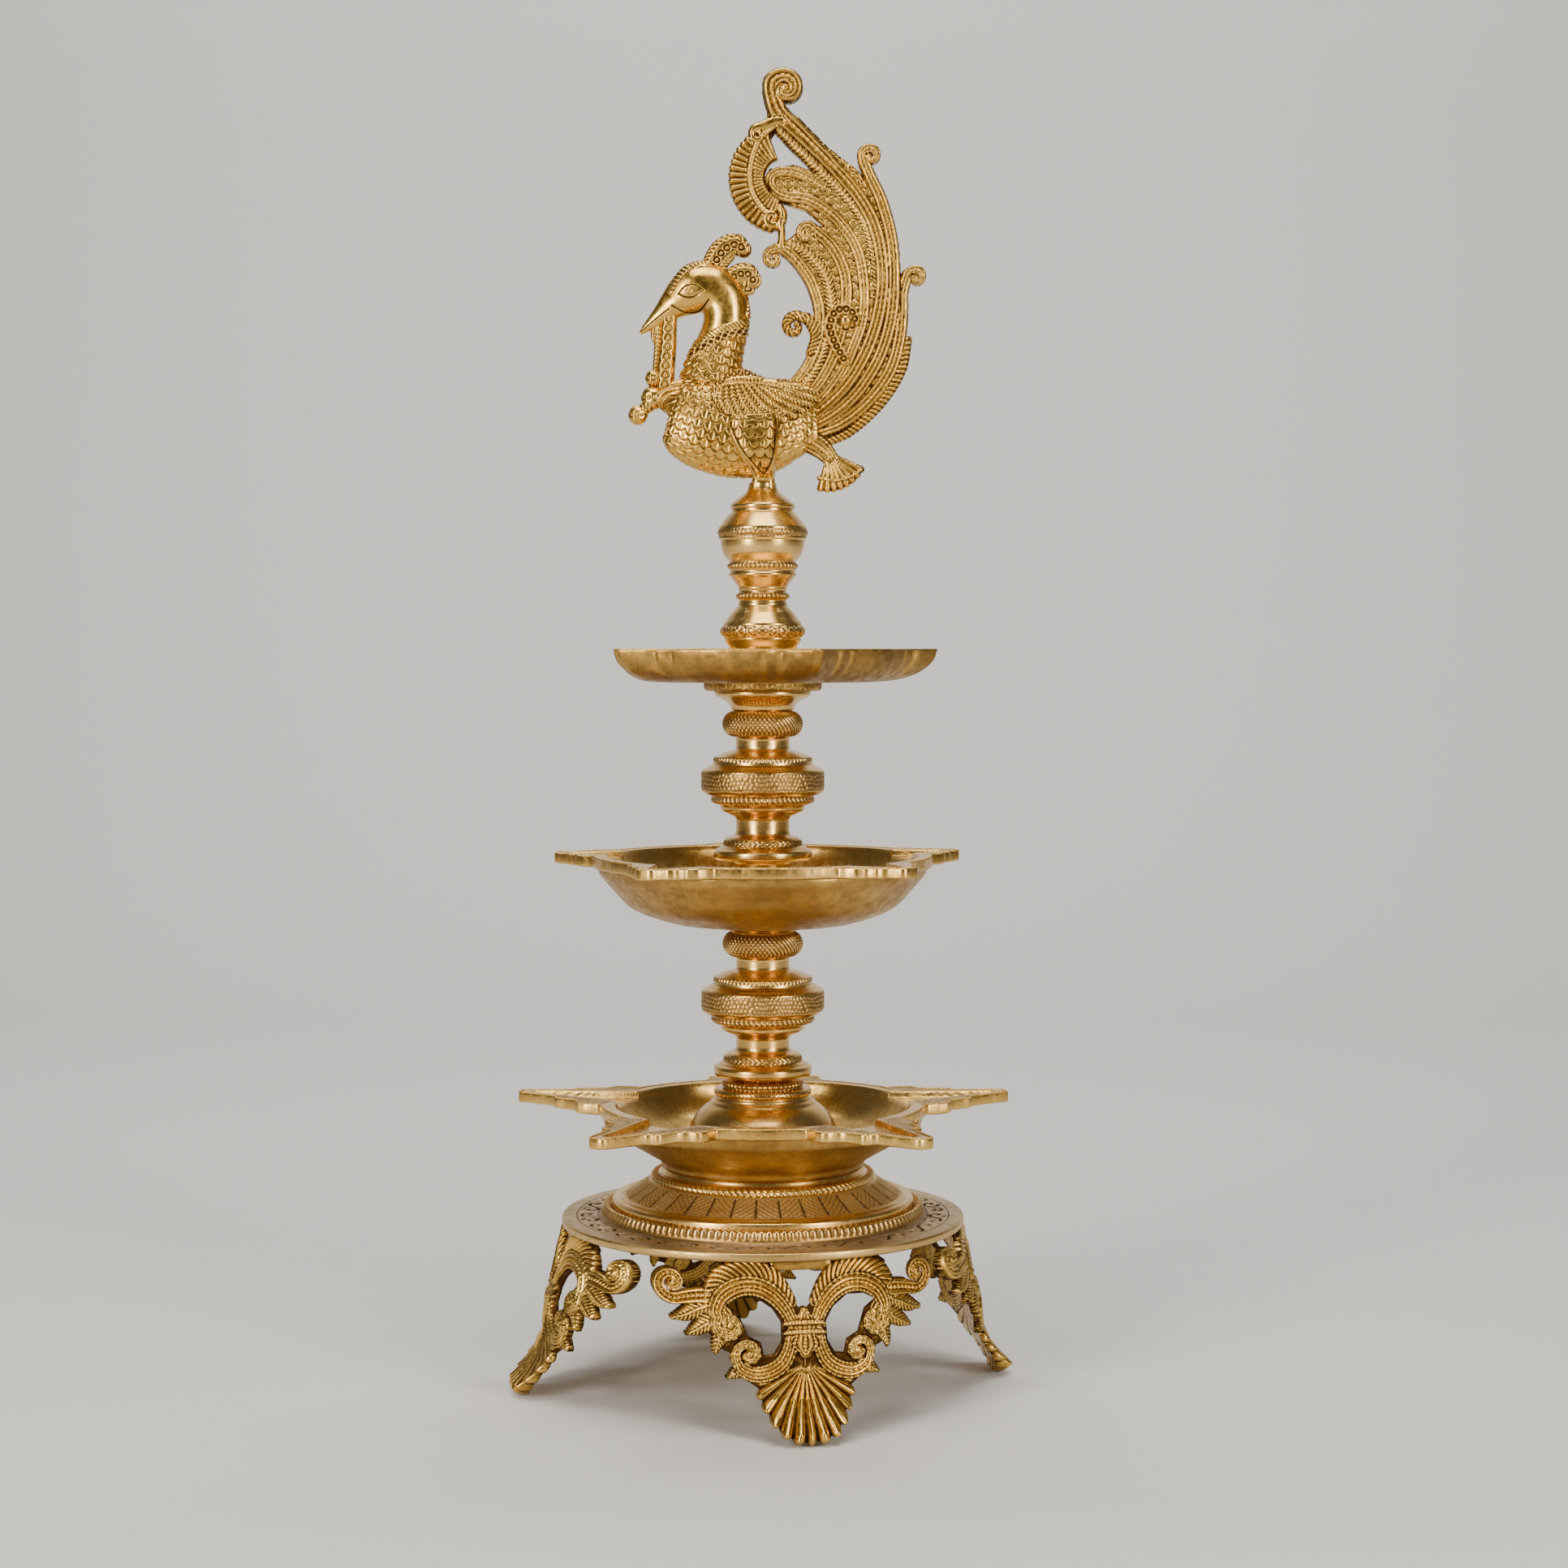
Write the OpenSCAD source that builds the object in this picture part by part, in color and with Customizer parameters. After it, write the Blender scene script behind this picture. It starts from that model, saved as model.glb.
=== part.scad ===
// Brass standing oil lamp (samai): four cast legs, base plate, three five-wick
// dishes on a screwed column of turned sections, and a peacock finial.
// Origin: on the column axis, at the floor under the feet. +Z up.

/* [Base] */
// Outer radius of the base plate
plate_r = 93.6; // [88:0.2:100]
// Thickness of the base plate rim
plate_t = 4; // [3:0.5:6]
// Angle of the first leg about the column, from +X
leg_angle = 11; // [0:1:90]
// Wall thickness of a cast leg
leg_t = 5; // [4:0.5:6]

/* [Dishes] */
// Tip radius of the bottom dish spouts
bottom_tip_r = 122.6; // [118:0.2:126]
// Tip radius of the middle dish spouts
middle_tip_r = 100.5; // [98:0.5:104]
// Tip radius of the top dish spouts
top_tip_r = 81; // [79:0.5:83]
// Number of spouts on each dish
spouts = 5; // [5:1:5]
// Angle of the first spout of the bottom dish
bottom_angle = 18; // [0:1:72]
// Angle of the first spout of the middle dish
middle_angle = 23; // [0:1:72]
// Angle of the first spout of the top dish
top_angle = 0; // [0:1:72]

/* [Column] */
// Radius of the stippled belts on the two stems
belt_r = 28.8; // [27:0.2:30]
// Radius of the plain necks of the two stems
neck_r = 12.4; // [11.5:0.1:13.5]
// Radius of the threaded studs between the sections
stud_r = 5; // [4:0.5:5.5]
// Radial clearance of a stud in its hole
stud_fit = 0.05; // [0.02:0.01:0.08]

/* [Finial] */
// Thickness of the peacock's tail plate
tail_t = 12; // [9:0.5:15]
// Half width of the peacock's body
body_half_w = 17; // [14:0.5:20]

/* [Hidden] */
$fn = 64;

// Heights of the faces where one section stands on the next
z_plate = 75.7;       // underside of the base plate
z_pedestal = 84;      // plate top under the pedestal
z_bottom_dish = 102;  // pedestal top
z_bottom_floor = 110; // floor inside the bottom dish
z_lower_stem = 144.5;
z_middle_dish = 214.5;
z_middle_floor = 218.5;
z_top_dish = 323;
z_top_floor = 330;
z_finial = 407;
z_peacock = 419;

// Rims of the dishes
z_bottom_rim = 131;
z_middle_rim = 246.5;
z_top_rim = 342.5;
flange_t = 5.2;
channel_depth = 3;

// Studs: bottom end, length and the free depth left past each end
lower_stud_z = [88, 162];
upper_stud_z = [200, 246];
capital_stud_z = [309, 352];
finial_stud_z = [394, 415];
finial_stud_r = 4;
stud_end_gap = 0.5;

// Screws
screw_shank_r = 2;
screw_head_r = 3.8;
screw_head_h = 2.6;

brass = "#b8903f";
dark_brass = "#8f6a2a";
pale_brass = "#c9a86a";

// ---------- helpers ----------

// Points on a round stretch of a turned profile: centre, radius, start and end angle
function arc(cr, cz, r, a0, a1, n = 8) =
    [for (i = [0:n]) let (a = a0 + (a1 - a0) * i / n) [cr + r * cos(a), cz + r * sin(a)]];

// The same profile moved up by dz
function raised(points, dz) = [for (p = points) [p[0], p[1] + dz]];

// A half outline [along, half width] turned to angle a, right flank outwards then left flank back
function flank(points, a, side) =
    [for (p = points) [p[0] * cos(a) - side * p[1] * sin(a), p[0] * sin(a) + side * p[1] * cos(a)]];

function reversed(list) = [for (i = [len(list) - 1:-1:0]) list[i]];

// A turned solid from its outline, closed on the axis
module turned(points) rotate_extrude() polygon(points);

// A hole for a stud, from z0 to z1
module stud_hole(z0, z1, r = stud_r) translate([0, 0, z0]) cylinder(h = z1 - z0, r = r + stud_fit);

// A stud with chamfered tips
module stud(span, r = stud_r) {
    tip = 0.8;
    turned([[0, span[0]], [r - tip, span[0]], [r, span[0] + tip],
            [r, span[1] - tip], [r - tip, span[1]], [0, span[1]]]);
}

// Star outline of a dish: 'half' is one side of a spout from its tip inwards,
// 'valley_r' the round edge between two spouts
module star(half, valley_r, first_angle) {
    pitch = 360 / spouts;
    root = half[len(half) - 1];
    root_a = atan2(root[1], root[0]);
    polygon([for (k = [0:spouts - 1]) let (a = first_angle + k * pitch) each concat(
        flank(reversed(half), a, -1),
        flank(half, a, 1),
        [for (i = [1:5]) let (b = a + root_a + (pitch - 2 * root_a) * i / 6)
            [valley_r * cos(b), valley_r * sin(b)]])]);
}

// Shallow wick channels cut into the spouts
module channels(r_in, w_in, r_out, w_out, first_angle, z, depth) {
    for (k = [0:spouts - 1]) rotate(first_angle + k * 360 / spouts)
        translate([0, 0, z - depth]) linear_extrude(height = depth + 1)
            polygon([[r_in, -w_in], [r_out, -w_out], [r_out, w_out], [r_in, w_in]]);
}

// ---------- base ----------

module base_plate() {
    bead_r = 72.8;
    step_r = 75;
    open_r = 48;
    color(pale_brass) difference() {
        turned(concat(
            [[open_r, z_plate], [plate_r - 0.8, z_plate], [plate_r, z_plate + 0.8],
             [plate_r, z_plate + plate_t - 0.8], [plate_r - 0.8, z_plate + plate_t],
             [step_r + 1, z_plate + plate_t], [step_r, z_plate + plate_t + 1], [step_r, z_pedestal - 0.6]],
            arc(bead_r, z_pedestal, 1.7, 0, 180),
            [[bead_r - 1.7, z_pedestal], [open_r, z_pedestal]]));
        leg_screw_places() translate([0, 0, z_plate - 1]) cylinder(h = 4.6, r = screw_shank_r + 0.02, $fn = 24);
        pedestal_screw_places() translate([0, 0, z_plate - 1]) cylinder(h = 12, r = screw_shank_r + 0.02, $fn = 24);
    }
}

module base_pedestal() {
    wall = 4;
    boss_r = 11;
    color(brass) difference() {
        turned(concat(
            [[52, z_pedestal], [70, z_pedestal], [70, 87.6], [69.2, 88.3], [66.4, 88.3], [65.8, 88.8],
             [59, 92.2], [53.4, 96], [52.5, 97.2]],
            arc(50.3, 98, 1.7, -20, 110, 6),
            [[48, 99.6], [46.4, 100.2], [46.4, 101.6], [46, z_bottom_dish], [0, z_bottom_dish],
             [0, 84], [boss_r, 84], [boss_r, z_bottom_dish - wall], [44, z_bottom_dish - wall], [47.5, 95]]));
        stud_hole(80, z_bottom_dish + 1);
        pedestal_screw_places() translate([0, 0, z_pedestal - 1]) cylinder(h = 4, r = screw_shank_r + 0.02, $fn = 24);
    }
}

module pedestal_screw_places() for (k = [0:3]) rotate(leg_angle + 45 + k * 90) translate([60, 0, 0]) children();

module pedestal_screws() color(dark_brass) pedestal_screw_places() {
    translate([0, 0, z_plate - screw_head_h]) cylinder(h = screw_head_h, r = screw_head_r, $fn = 32);
    translate([0, 0, z_plate]) cylinder(h = z_pedestal + 3 - z_plate, r = screw_shank_r, $fn = 24);
}

// ---------- legs ----------

lug_t = 4;
lug_half_w = 15;
lug_in_r = 74;
leg_screw_r = 81;
leg_screw_half = 9;

// Outer face of a leg seen edge on: [radius, height]
leg_face = [[115.5, 0], [119, 3.5], [118.6, 6], [112.5, 12], [107, 19], [103.4, 28], [102, 44], [97.5, 60], [94.2, z_plate]];

// Right half of the leg's outline seen from outside: [sideways, height]
leg_half = concat(
    [[0, 54], [5, 60], [10, 67], [15, 73], [19, z_plate], [36, z_plate], [40, 74], [39.5, 68.5], [44, 65.3], [49, 66]],
    arc(56, 65.8, 7, 160, -45, 8),
    [[58, 56.5], [54.5, 55]],
    arc(52.5, 51, 3.4, 70, -70, 4),
    arc(47, 47.4, 3.4, 40, -100, 4),
    [[42, 45], [40, 38.6], [37.5, 37.4], [34, 41], [31, 43.4], [30.5, 37], [33, 27.4], [27, 25.6], [23, 23.6]],
    arc(19.5, 20.6, 3, 40, -70, 4),
    arc(16.5, 14.4, 3.6, 50, -60, 4),
    arc(12, 8.4, 3.6, 50, -80, 4),
    arc(6, 3.6, 3.6, 40, -90, 4));

// Opening between the upper and lower scrolls
leg_eye = concat(
    [[33, 56], [27, 59.6], [19, 60], [13, 55.4], [10.2, 50], [10.4, 42], [14.5, 37.4], [17, 39]],
    [[19.5, 43], [24.5, 44.6], [24.6, 48], [28, 53]]);

function mirrored(points) = [for (p = reversed(points)) [-p[0], p[1]]];

module leg(turn) {
    foot_pad_r = 110;
    rotate(turn) {
        intersection() {
            rotate_extrude(angle = 100, start = -50, $fn = 96)
                polygon(concat(leg_face, [[94.2 - leg_t, z_plate], [97.5 - leg_t, 60], [102 - leg_t, 44],
                    [103.4 - leg_t, 28], [107 - leg_t, 19], [foot_pad_r - 2.5, 10.5], [foot_pad_r, 4], [foot_pad_r, 0]]));
            rotate([90, 0, 90]) linear_extrude(height = 130) difference() {
                polygon(concat(leg_half, mirrored(leg_half)));
                polygon(leg_eye);
                polygon(mirrored(leg_eye));
            }
        }
        // Lug that is screwed to the underside of the plate
        difference() {
            intersection() {
                translate([lug_in_r, -lug_half_w, z_plate - lug_t]) cube([18, 2 * lug_half_w, lug_t]);
                translate([0, 0, z_plate - lug_t]) cylinder(h = lug_t, r = 90.5, $fn = 96);
            }
            for (s = [-1, 1]) translate([leg_screw_r, s * leg_screw_half, z_plate - lug_t - 1])
                cylinder(h = lug_t + 2, r = screw_shank_r + 0.02, $fn = 24);
        }
    }
}

module leg_front() color(brass) leg(leg_angle - 90);
module leg_right() color(brass) leg(leg_angle);
module leg_rear() color(brass) leg(leg_angle + 90);
module leg_left() color(brass) leg(leg_angle + 180);

module leg_screw_places() for (k = [0:3], s = [-1, 1])
    rotate(leg_angle + k * 90) translate([leg_screw_r, s * leg_screw_half, 0]) children();

module leg_screws() color(dark_brass) leg_screw_places() {
    translate([0, 0, z_plate - lug_t - screw_head_h]) cylinder(h = screw_head_h, r = screw_head_r, $fn = 32);
    translate([0, 0, z_plate - lug_t]) cylinder(h = lug_t + 3.2, r = screw_shank_r, $fn = 24);
}

// ---------- bottom dish ----------

bottom_spout = [[bottom_tip_r, 3.5], [bottom_tip_r - 1.2, 4.8], [100, 11], [99, 16], [95, 17.2],
                [85.5, 20.5], [84, 26], [80, 27.5], [71, 27]];

module bottom_dish() {
    foot_r = 47.4;
    bowl_r = 69;
    color(brass) difference() {
        union() {
            turned([[0, z_bottom_dish], [foot_r, z_bottom_dish], [foot_r, 105.4], [foot_r + 1.2, 106.2],
                    [73.5, 120.6], [74.5, z_bottom_rim - flange_t], [74.5, z_bottom_rim - 1], [0, z_bottom_rim - 1]]);
            translate([0, 0, z_bottom_rim - flange_t]) linear_extrude(height = flange_t)
                star(bottom_spout, 76, bottom_angle);
        }
        turned([[0, z_bottom_floor], [36, z_bottom_floor], [50, 111.6], [60, 116], [66, 122.5],
                [bowl_r - 0.6, 127.5], [bowl_r, z_bottom_rim], [bowl_r, z_bottom_rim + 1], [0, z_bottom_rim + 1]]);
        channels(bowl_r - 4, 15, bottom_tip_r - 8, 2.2, bottom_angle, z_bottom_rim, channel_depth);
        translate([0, 0, z_bottom_dish - 1]) cylinder(h = 5, r = 42);
        stud_hole(z_bottom_dish - 1, z_bottom_floor + 1);
    }
}

module bottom_hub() {
    color(brass) difference() {
        turned(concat(
            [[0, z_bottom_floor], [35, z_bottom_floor]],
            arc(14.6, 113.6, 20.6, 0, 62, 8),
            [[23.4, 133.4], [22.6, 134.6]],
            arc(20.9, 137, 1.9, -70, 70, 6),
            [[18.6, 139]],
            arc(17.6, 140.6, 1.6, -60, 70, 6),
            [[15, 142.6], [14.4, 143.2], [14.4, z_lower_stem], [0, z_lower_stem]]));
        stud_hole(z_bottom_floor - 1, z_lower_stem + 1);
    }
}

// ---------- stems ----------

// Outline shared by both stems, with height zero at the middle of the belt.
// 'drop' is how far the bottom flange hangs below it.
function baluster(drop) = concat(
    [[22, -drop], [22.8, 0.8 - drop], [22.8, 3.8 - drop], [22, 4.6 - drop]],
    [[20, 5.6 - drop], [18.8, 6.2 - drop]],
    arc(17, 7.8 - drop, 1.5, -50, 60, 4),
    [[16.6, 10.4 - drop], [13.4, 11.2 - drop], [neck_r, 12.4 - drop]],
    [[neck_r, -17.6], [13.2, -16.6], [15.6, -15.4], [18.6, -14], [19.5, -12.8], [19.5, -11.6], [21.5, -10.8]],
    arc(22.6, -8.5, 1.6, -60, 60, 4),
    [[25, -6.6], [26.8, -6.2]],
    arc(belt_r - 2, -3.2, 2, -50, 0, 4),
    arc(belt_r - 1.6, 3.4, 1.6, 0, 60, 4),
    [[27.6, 5.4], [25.4, 6.4], [24.2, 7.8]],
    arc(21.6, 9.4, 1.5, -50, 60, 4),
    [[20.8, 11.8], [18.4, 12.8], [15.6, 13.8], [neck_r, 15.2], [neck_r, 19.6]],
    arc(12.6, 26.4, 6.2, -86, 86, 12));

module lower_stem() {
    belt_z = 179.35;
    drop = belt_z - z_lower_stem;
    color(brass) difference() {
        turned(concat([[0, z_lower_stem]], raised(baluster(drop), belt_z),
            [[14.8, 212.7], [15.8, 213.1], [15.8, z_middle_dish], [0, z_middle_dish]]));
        stud_hole(z_lower_stem - 1, lower_stud_z[1] + stud_end_gap);
        stud_hole(upper_stud_z[0] - stud_end_gap, z_middle_dish + 1);
    }
}

module upper_stem() {
    belt_z = 281.35;
    foot_r = 13.2;
    flange_z = 244.9;
    color(brass) difference() {
        turned(concat(
            [[0, z_middle_floor], [foot_r + 2, z_middle_floor], [foot_r + 2, 220.5], [foot_r, 222.5], [foot_r, flange_z - 1]],
            raised(baluster(belt_z - flange_z), belt_z),
            [[14.6, 314.1], [14.7, 315.5], [15.2, 316.5], [16.5, 317.7], [18.6, 319], [20.7, 320],
             [22.4, 321], [22.4, z_top_dish], [0, z_top_dish]]));
        stud_hole(z_middle_floor - 1, upper_stud_z[1] + stud_end_gap);
        stud_hole(capital_stud_z[0] - stud_end_gap, z_top_dish + 1);
    }
}

module lower_stud() color(dark_brass) stud(lower_stud_z);
module upper_stud() color(dark_brass) stud(upper_stud_z);
module capital_stud() color(dark_brass) stud(capital_stud_z);

// ---------- middle dish ----------

middle_spout = [[middle_tip_r, 3.5], [middle_tip_r - 1, 4.8], [92.5, 8.6], [91.5, 12.6], [87, 14.2], [85.6, 18.6], [77, 22.4]];

module middle_dish() {
    rim_r = 72.5;
    color(brass) difference() {
        union() {
            turned([[0, z_middle_dish], [30, z_middle_dish], [41, 215.6], [48, 217.4], [56, 220.2], [61.5, 223],
                    [65.4, 226.4], [69, 230.6], [72.6, 235], [75.8, 238.6], [76.4, z_middle_rim - flange_t],
                    [76.4, z_middle_rim - 1], [0, z_middle_rim - 1]]);
            translate([0, 0, z_middle_rim - flange_t]) linear_extrude(height = flange_t)
                star(middle_spout, 79, middle_angle);
        }
        turned([[0, z_middle_floor], [26, z_middle_floor], [40, 220], [49, 222.2], [56, 225.6], [62, 230.4],
                [67, 235.6], [71, 241], [rim_r, 244], [rim_r, z_middle_rim + 1], [0, z_middle_rim + 1]]);
        channels(rim_r - 4, 13, middle_tip_r - 7, 2.2, middle_angle, z_middle_rim, channel_depth);
        stud_hole(z_middle_dish - 1, z_middle_floor + 1);
    }
}

// ---------- top dish ----------

top_wall = 2.6;
top_spout = [[top_tip_r, 1.4], [top_tip_r - 1.4, 3.4], [74, 9.4], [70, 14], [67, 18], [64, 23]];
top_spout_in = [[top_tip_r - 3.6, 0.8], [top_tip_r - 5, 2.4], [71, 8], [67.2, 12.4], [64, 16.4], [61, 21.4]];

module top_dish() {
    collar_r = 27.3;
    color(brass) difference() {
        union() {
            turned([[0, z_top_dish], [26.3, z_top_dish], [collar_r, 324], [collar_r, 326.6], [26.6, 327.4], [0, 327.4]]);
            intersection() {
                translate([0, 0, 327]) linear_extrude(height = z_top_rim - 327) star(top_spout, 67.4, top_angle);
                turned([[0, 327], [54, 327], [63.5, 328.5], [70, 330.4], [75, 332.8], [79, 337],
                        [81.4, z_top_rim], [0, z_top_rim]]);
            }
        }
        intersection() {
            translate([0, 0, z_top_floor]) linear_extrude(height = 20) star(top_spout_in, 67.4 - top_wall, top_angle);
            turned([[0, z_top_floor], [53, z_top_floor], [62, 331.2], [68, 333], [72.5, 335.4], [76, 339],
                    [78.6, z_top_rim + 0.1], [78.6, 350], [0, 350]]);
        }
        stud_hole(z_top_dish - 1, z_top_floor + 1);
    }
}

// ---------- capital and finial ----------

module capital() {
    color(brass) difference() {
        turned(concat(
            [[0, z_top_floor], [15, z_top_floor], [15, 341], [15.8, 343.6], [17.4, 346]],
            arc(17.2, 350.4, 2.6, -50, 50, 6),
            [[17.1, 355.4], [15.8, 357], [14.4, 359], [12.6, 361], [11.2, 363.2], [10.9, 364.6]],
            arc(10.9, 366.6, 1.5, -70, 70, 6),
            [[10.9, 368.4], [10.9, 370], [11.6, 371.3], [13.2, 373.6], [14.8, 375.6], [15.4, 378]],
            arc(15, 380.6, 1.5, -60, 60, 4),
            [[15.6, 382.4], [16.6, 384.2], [18.2, 386.2], [19.2, 389.4], [19.6, 392.6], [20.6, 393.2]],
            arc(18.6, 396, 2.6, -45, 50, 6),
            [[15, 405.4], [14.2, 405.8], [14.2, z_finial], [0, z_finial]]));
        stud_hole(z_top_floor - 1, capital_stud_z[1] + stud_end_gap);
        stud_hole(finial_stud_z[0] - stud_end_gap, z_finial + 1, finial_stud_r);
    }
}

module finial_stud() color(dark_brass) stud(finial_stud_z, finial_stud_r);

module finial_foot() {
    color(pale_brass) difference() {
        turned([[0, z_finial], [15, z_finial], [15, 408.4], [14.6, 409.5], [13.1, 410.7], [11.8, 411.8],
                [10, 412.9], [8.3, 414], [7.1, 415.2], [6.5, 417], [6.3, z_peacock], [0, z_peacock]]);
        stud_hole(z_finial - 1, finial_stud_z[1] + stud_end_gap, finial_stud_r);
    }
}

// ---------- peacock, facing -X, tail raised behind it ----------

// A flat casting in the X-Z plane, centred on y = 0
module plate_xz(t) rotate([90, 0, 0]) translate([0, 0, -t / 2]) linear_extrude(height = t) children();

module curl(x, z, r) translate([x, z]) circle(r = r, $fn = 24);

module tail_outline() {
    // long feathers from the rump to the crown of the tail
    polygon([[12, 462], [20, 473], [22.5, 480], [25, 488], [26, 496], [23.5, 506], [18.5, 515], [12, 522],
             [9, 525], [7, 529], [10, 532], [14, 531], [20, 538], [27, 538], [22, 542.5], [13, 547.5], [6, 547.5],
             [0, 556], [1, 564], [8, 566], [16, 565], [25, 561.5], [3.5, 580.5], [-0.8, 585.5], [-0.8, 598],
             [18.5, 587.5], [30, 575.5], [41.6, 565], [51.5, 560], [54, 550], [59, 539], [62.6, 528], [65.5, 519],
             [67.4, 506], [67.8, 492], [67.6, 478], [64, 469], [56, 456], [46, 446], [34, 439], [20, 436]]);
    // scrolled feather tips
    curl(10, 599.4, 10.2);
    curl(49, 568, 6.2);
    curl(70, 513, 6.2);
    curl(68, 482, 4);
    curl(15, 490, 6.4);
    curl(21, 534, 5.4);
    curl(4, 520, 4.8);
    polygon([[-0.6, 521.6], [2, 527.6], [6, 530.6], [13, 531], [15, 524], [9, 525.6], [5, 522.4]]);
    polygon([[15, 496.4], [25, 494], [25, 486], [15, 484]]);
}

module fan_outline() {
    polygon([[1.7, 583.5], [-5.8, 581.8], [-12, 575.5], [-15.8, 565], [-15.8, 556], [-13.3, 548.5], [-7.7, 541],
             [-1, 535], [5.4, 532.8], [10, 537], [10, 542], [6, 548], [2, 556], [-1, 566], [-2, 573], [4, 579]]);
    polygon([[5, 535], [9, 535], [10, 528], [6, 528]]);
}

module small_tail_outline() {
    polygon([[8, 446], [24, 440], [30, 437], [36, 428.5], [42, 424.5], [48, 424.5], [46.5, 418.5], [41, 415.3],
             [33.5, 413.8], [27, 415], [24, 418.2], [28, 424], [26, 430.5], [20, 434], [10, 430]]);
}

module crest_outline() {
    polygon([[-31, 519], [-26, 525], [-23, 530], [-18, 533.6], [-11, 533], [-6.4, 529], [-8, 524], [-12.5, 521],
             [-9, 519], [-3, 513], [-2.6, 509], [-7, 506.5], [-14, 506], [-24, 508]]);
}

module blob(x, z, r, squash = 1) translate([x, 0, z]) scale([1, squash, 1]) sphere(r = r, $fn = 24);

module limb(a, b, ra, rb, squash = 1) hull() {
    blob(a[0], a[1], ra, squash);
    blob(b[0], b[1], rb, squash);
}

module peacock() {
    wide = body_half_w / 21;
    color(pale_brass) {
        plate_xz(tail_t) tail_outline();
        plate_xz(tail_t - 3) fan_outline();
        plate_xz(7) small_tail_outline();
        plate_xz(8) crest_outline();
        // breast, belly, rump and folded wings
        hull() {
            blob(-23, 450, 22, wide);
            blob(-8, 443, 21, wide);
            blob(12, 451, 15, 1);
        }
        hull() {
            blob(-22, 458, 18, 0.9);
            blob(-18, 480, 11.5);
        }
        limb([-18, 480], [-16.5, 496], 11.5, 10.4);
        limb([-16.5, 496], [-24, 509.5], 10.4, 12);
        limb([-24, 509.5], [-32, 506.5], 12, 11);
        limb([-39, 502], [-56, 488.4], 8, 1.2, 0.8);
        // strand from the beak down to the breast
        limb([-42.5, 498], [-44, 466], 4, 4.6, 0.9);
        limb([-50.4, 466.6], [-47, 464], 4, 3.6);
        limb([-50, 458], [-44, 458], 6, 6, 0.9);
        limb([-57.6, 449.8], [-50, 457], 4.6, 4.4);
        // tang and thighs that carry it on the foot
        translate([0, 0, z_peacock]) cylinder(h = 4, r = 6.2, $fn = 32);
        hull() {
            translate([0, 0, z_peacock + 3.6]) cylinder(h = 0.4, r = 6.2, $fn = 32);
            blob(0, 436, 11, 1);
        }
    }
}

base_plate();
base_pedestal();
pedestal_screws();
leg_front();
leg_right();
leg_rear();
leg_left();
leg_screws();
bottom_dish();
bottom_hub();
lower_stud();
lower_stem();
middle_dish();
upper_stud();
upper_stem();
top_dish();
capital_stud();
capital();
finial_stud();
finial_foot();
peacock();
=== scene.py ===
"""Looks of the brass standing oil lamp: turned column sections with milled bands, three filed and
chased dishes, openwork scroll legs and a feathered peacock finial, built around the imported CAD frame."""
import math

import bpy
import numpy as np
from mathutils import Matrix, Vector


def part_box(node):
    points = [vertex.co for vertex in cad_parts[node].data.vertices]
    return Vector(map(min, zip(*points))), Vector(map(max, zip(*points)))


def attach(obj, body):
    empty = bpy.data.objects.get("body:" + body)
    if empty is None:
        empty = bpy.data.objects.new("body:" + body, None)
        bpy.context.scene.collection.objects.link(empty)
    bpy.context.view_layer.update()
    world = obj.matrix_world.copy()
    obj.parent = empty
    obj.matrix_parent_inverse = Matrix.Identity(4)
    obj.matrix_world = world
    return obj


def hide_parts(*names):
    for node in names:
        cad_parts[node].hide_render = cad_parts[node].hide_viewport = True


MM = 0.001
TAU = 2 * math.pi
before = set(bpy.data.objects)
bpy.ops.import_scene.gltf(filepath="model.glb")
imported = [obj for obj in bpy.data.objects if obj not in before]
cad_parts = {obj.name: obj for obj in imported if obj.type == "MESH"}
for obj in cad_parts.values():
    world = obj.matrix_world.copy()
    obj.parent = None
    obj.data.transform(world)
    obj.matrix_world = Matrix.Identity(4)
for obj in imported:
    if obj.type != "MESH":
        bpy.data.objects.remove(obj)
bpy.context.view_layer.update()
FINE = 1.0


def low(node):
    """Height of a node's underside at rest, in mm."""
    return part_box(node)[0][2] / MM


def high(node):
    """Height of a node's top at rest, in mm."""
    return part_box(node)[1][2] / MM


def reach(node):
    """Farthest reach of a turned node from the column axis, in mm."""
    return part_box(node)[1][0] / MM


# ---------------------------------------------------------------- materials

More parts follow.
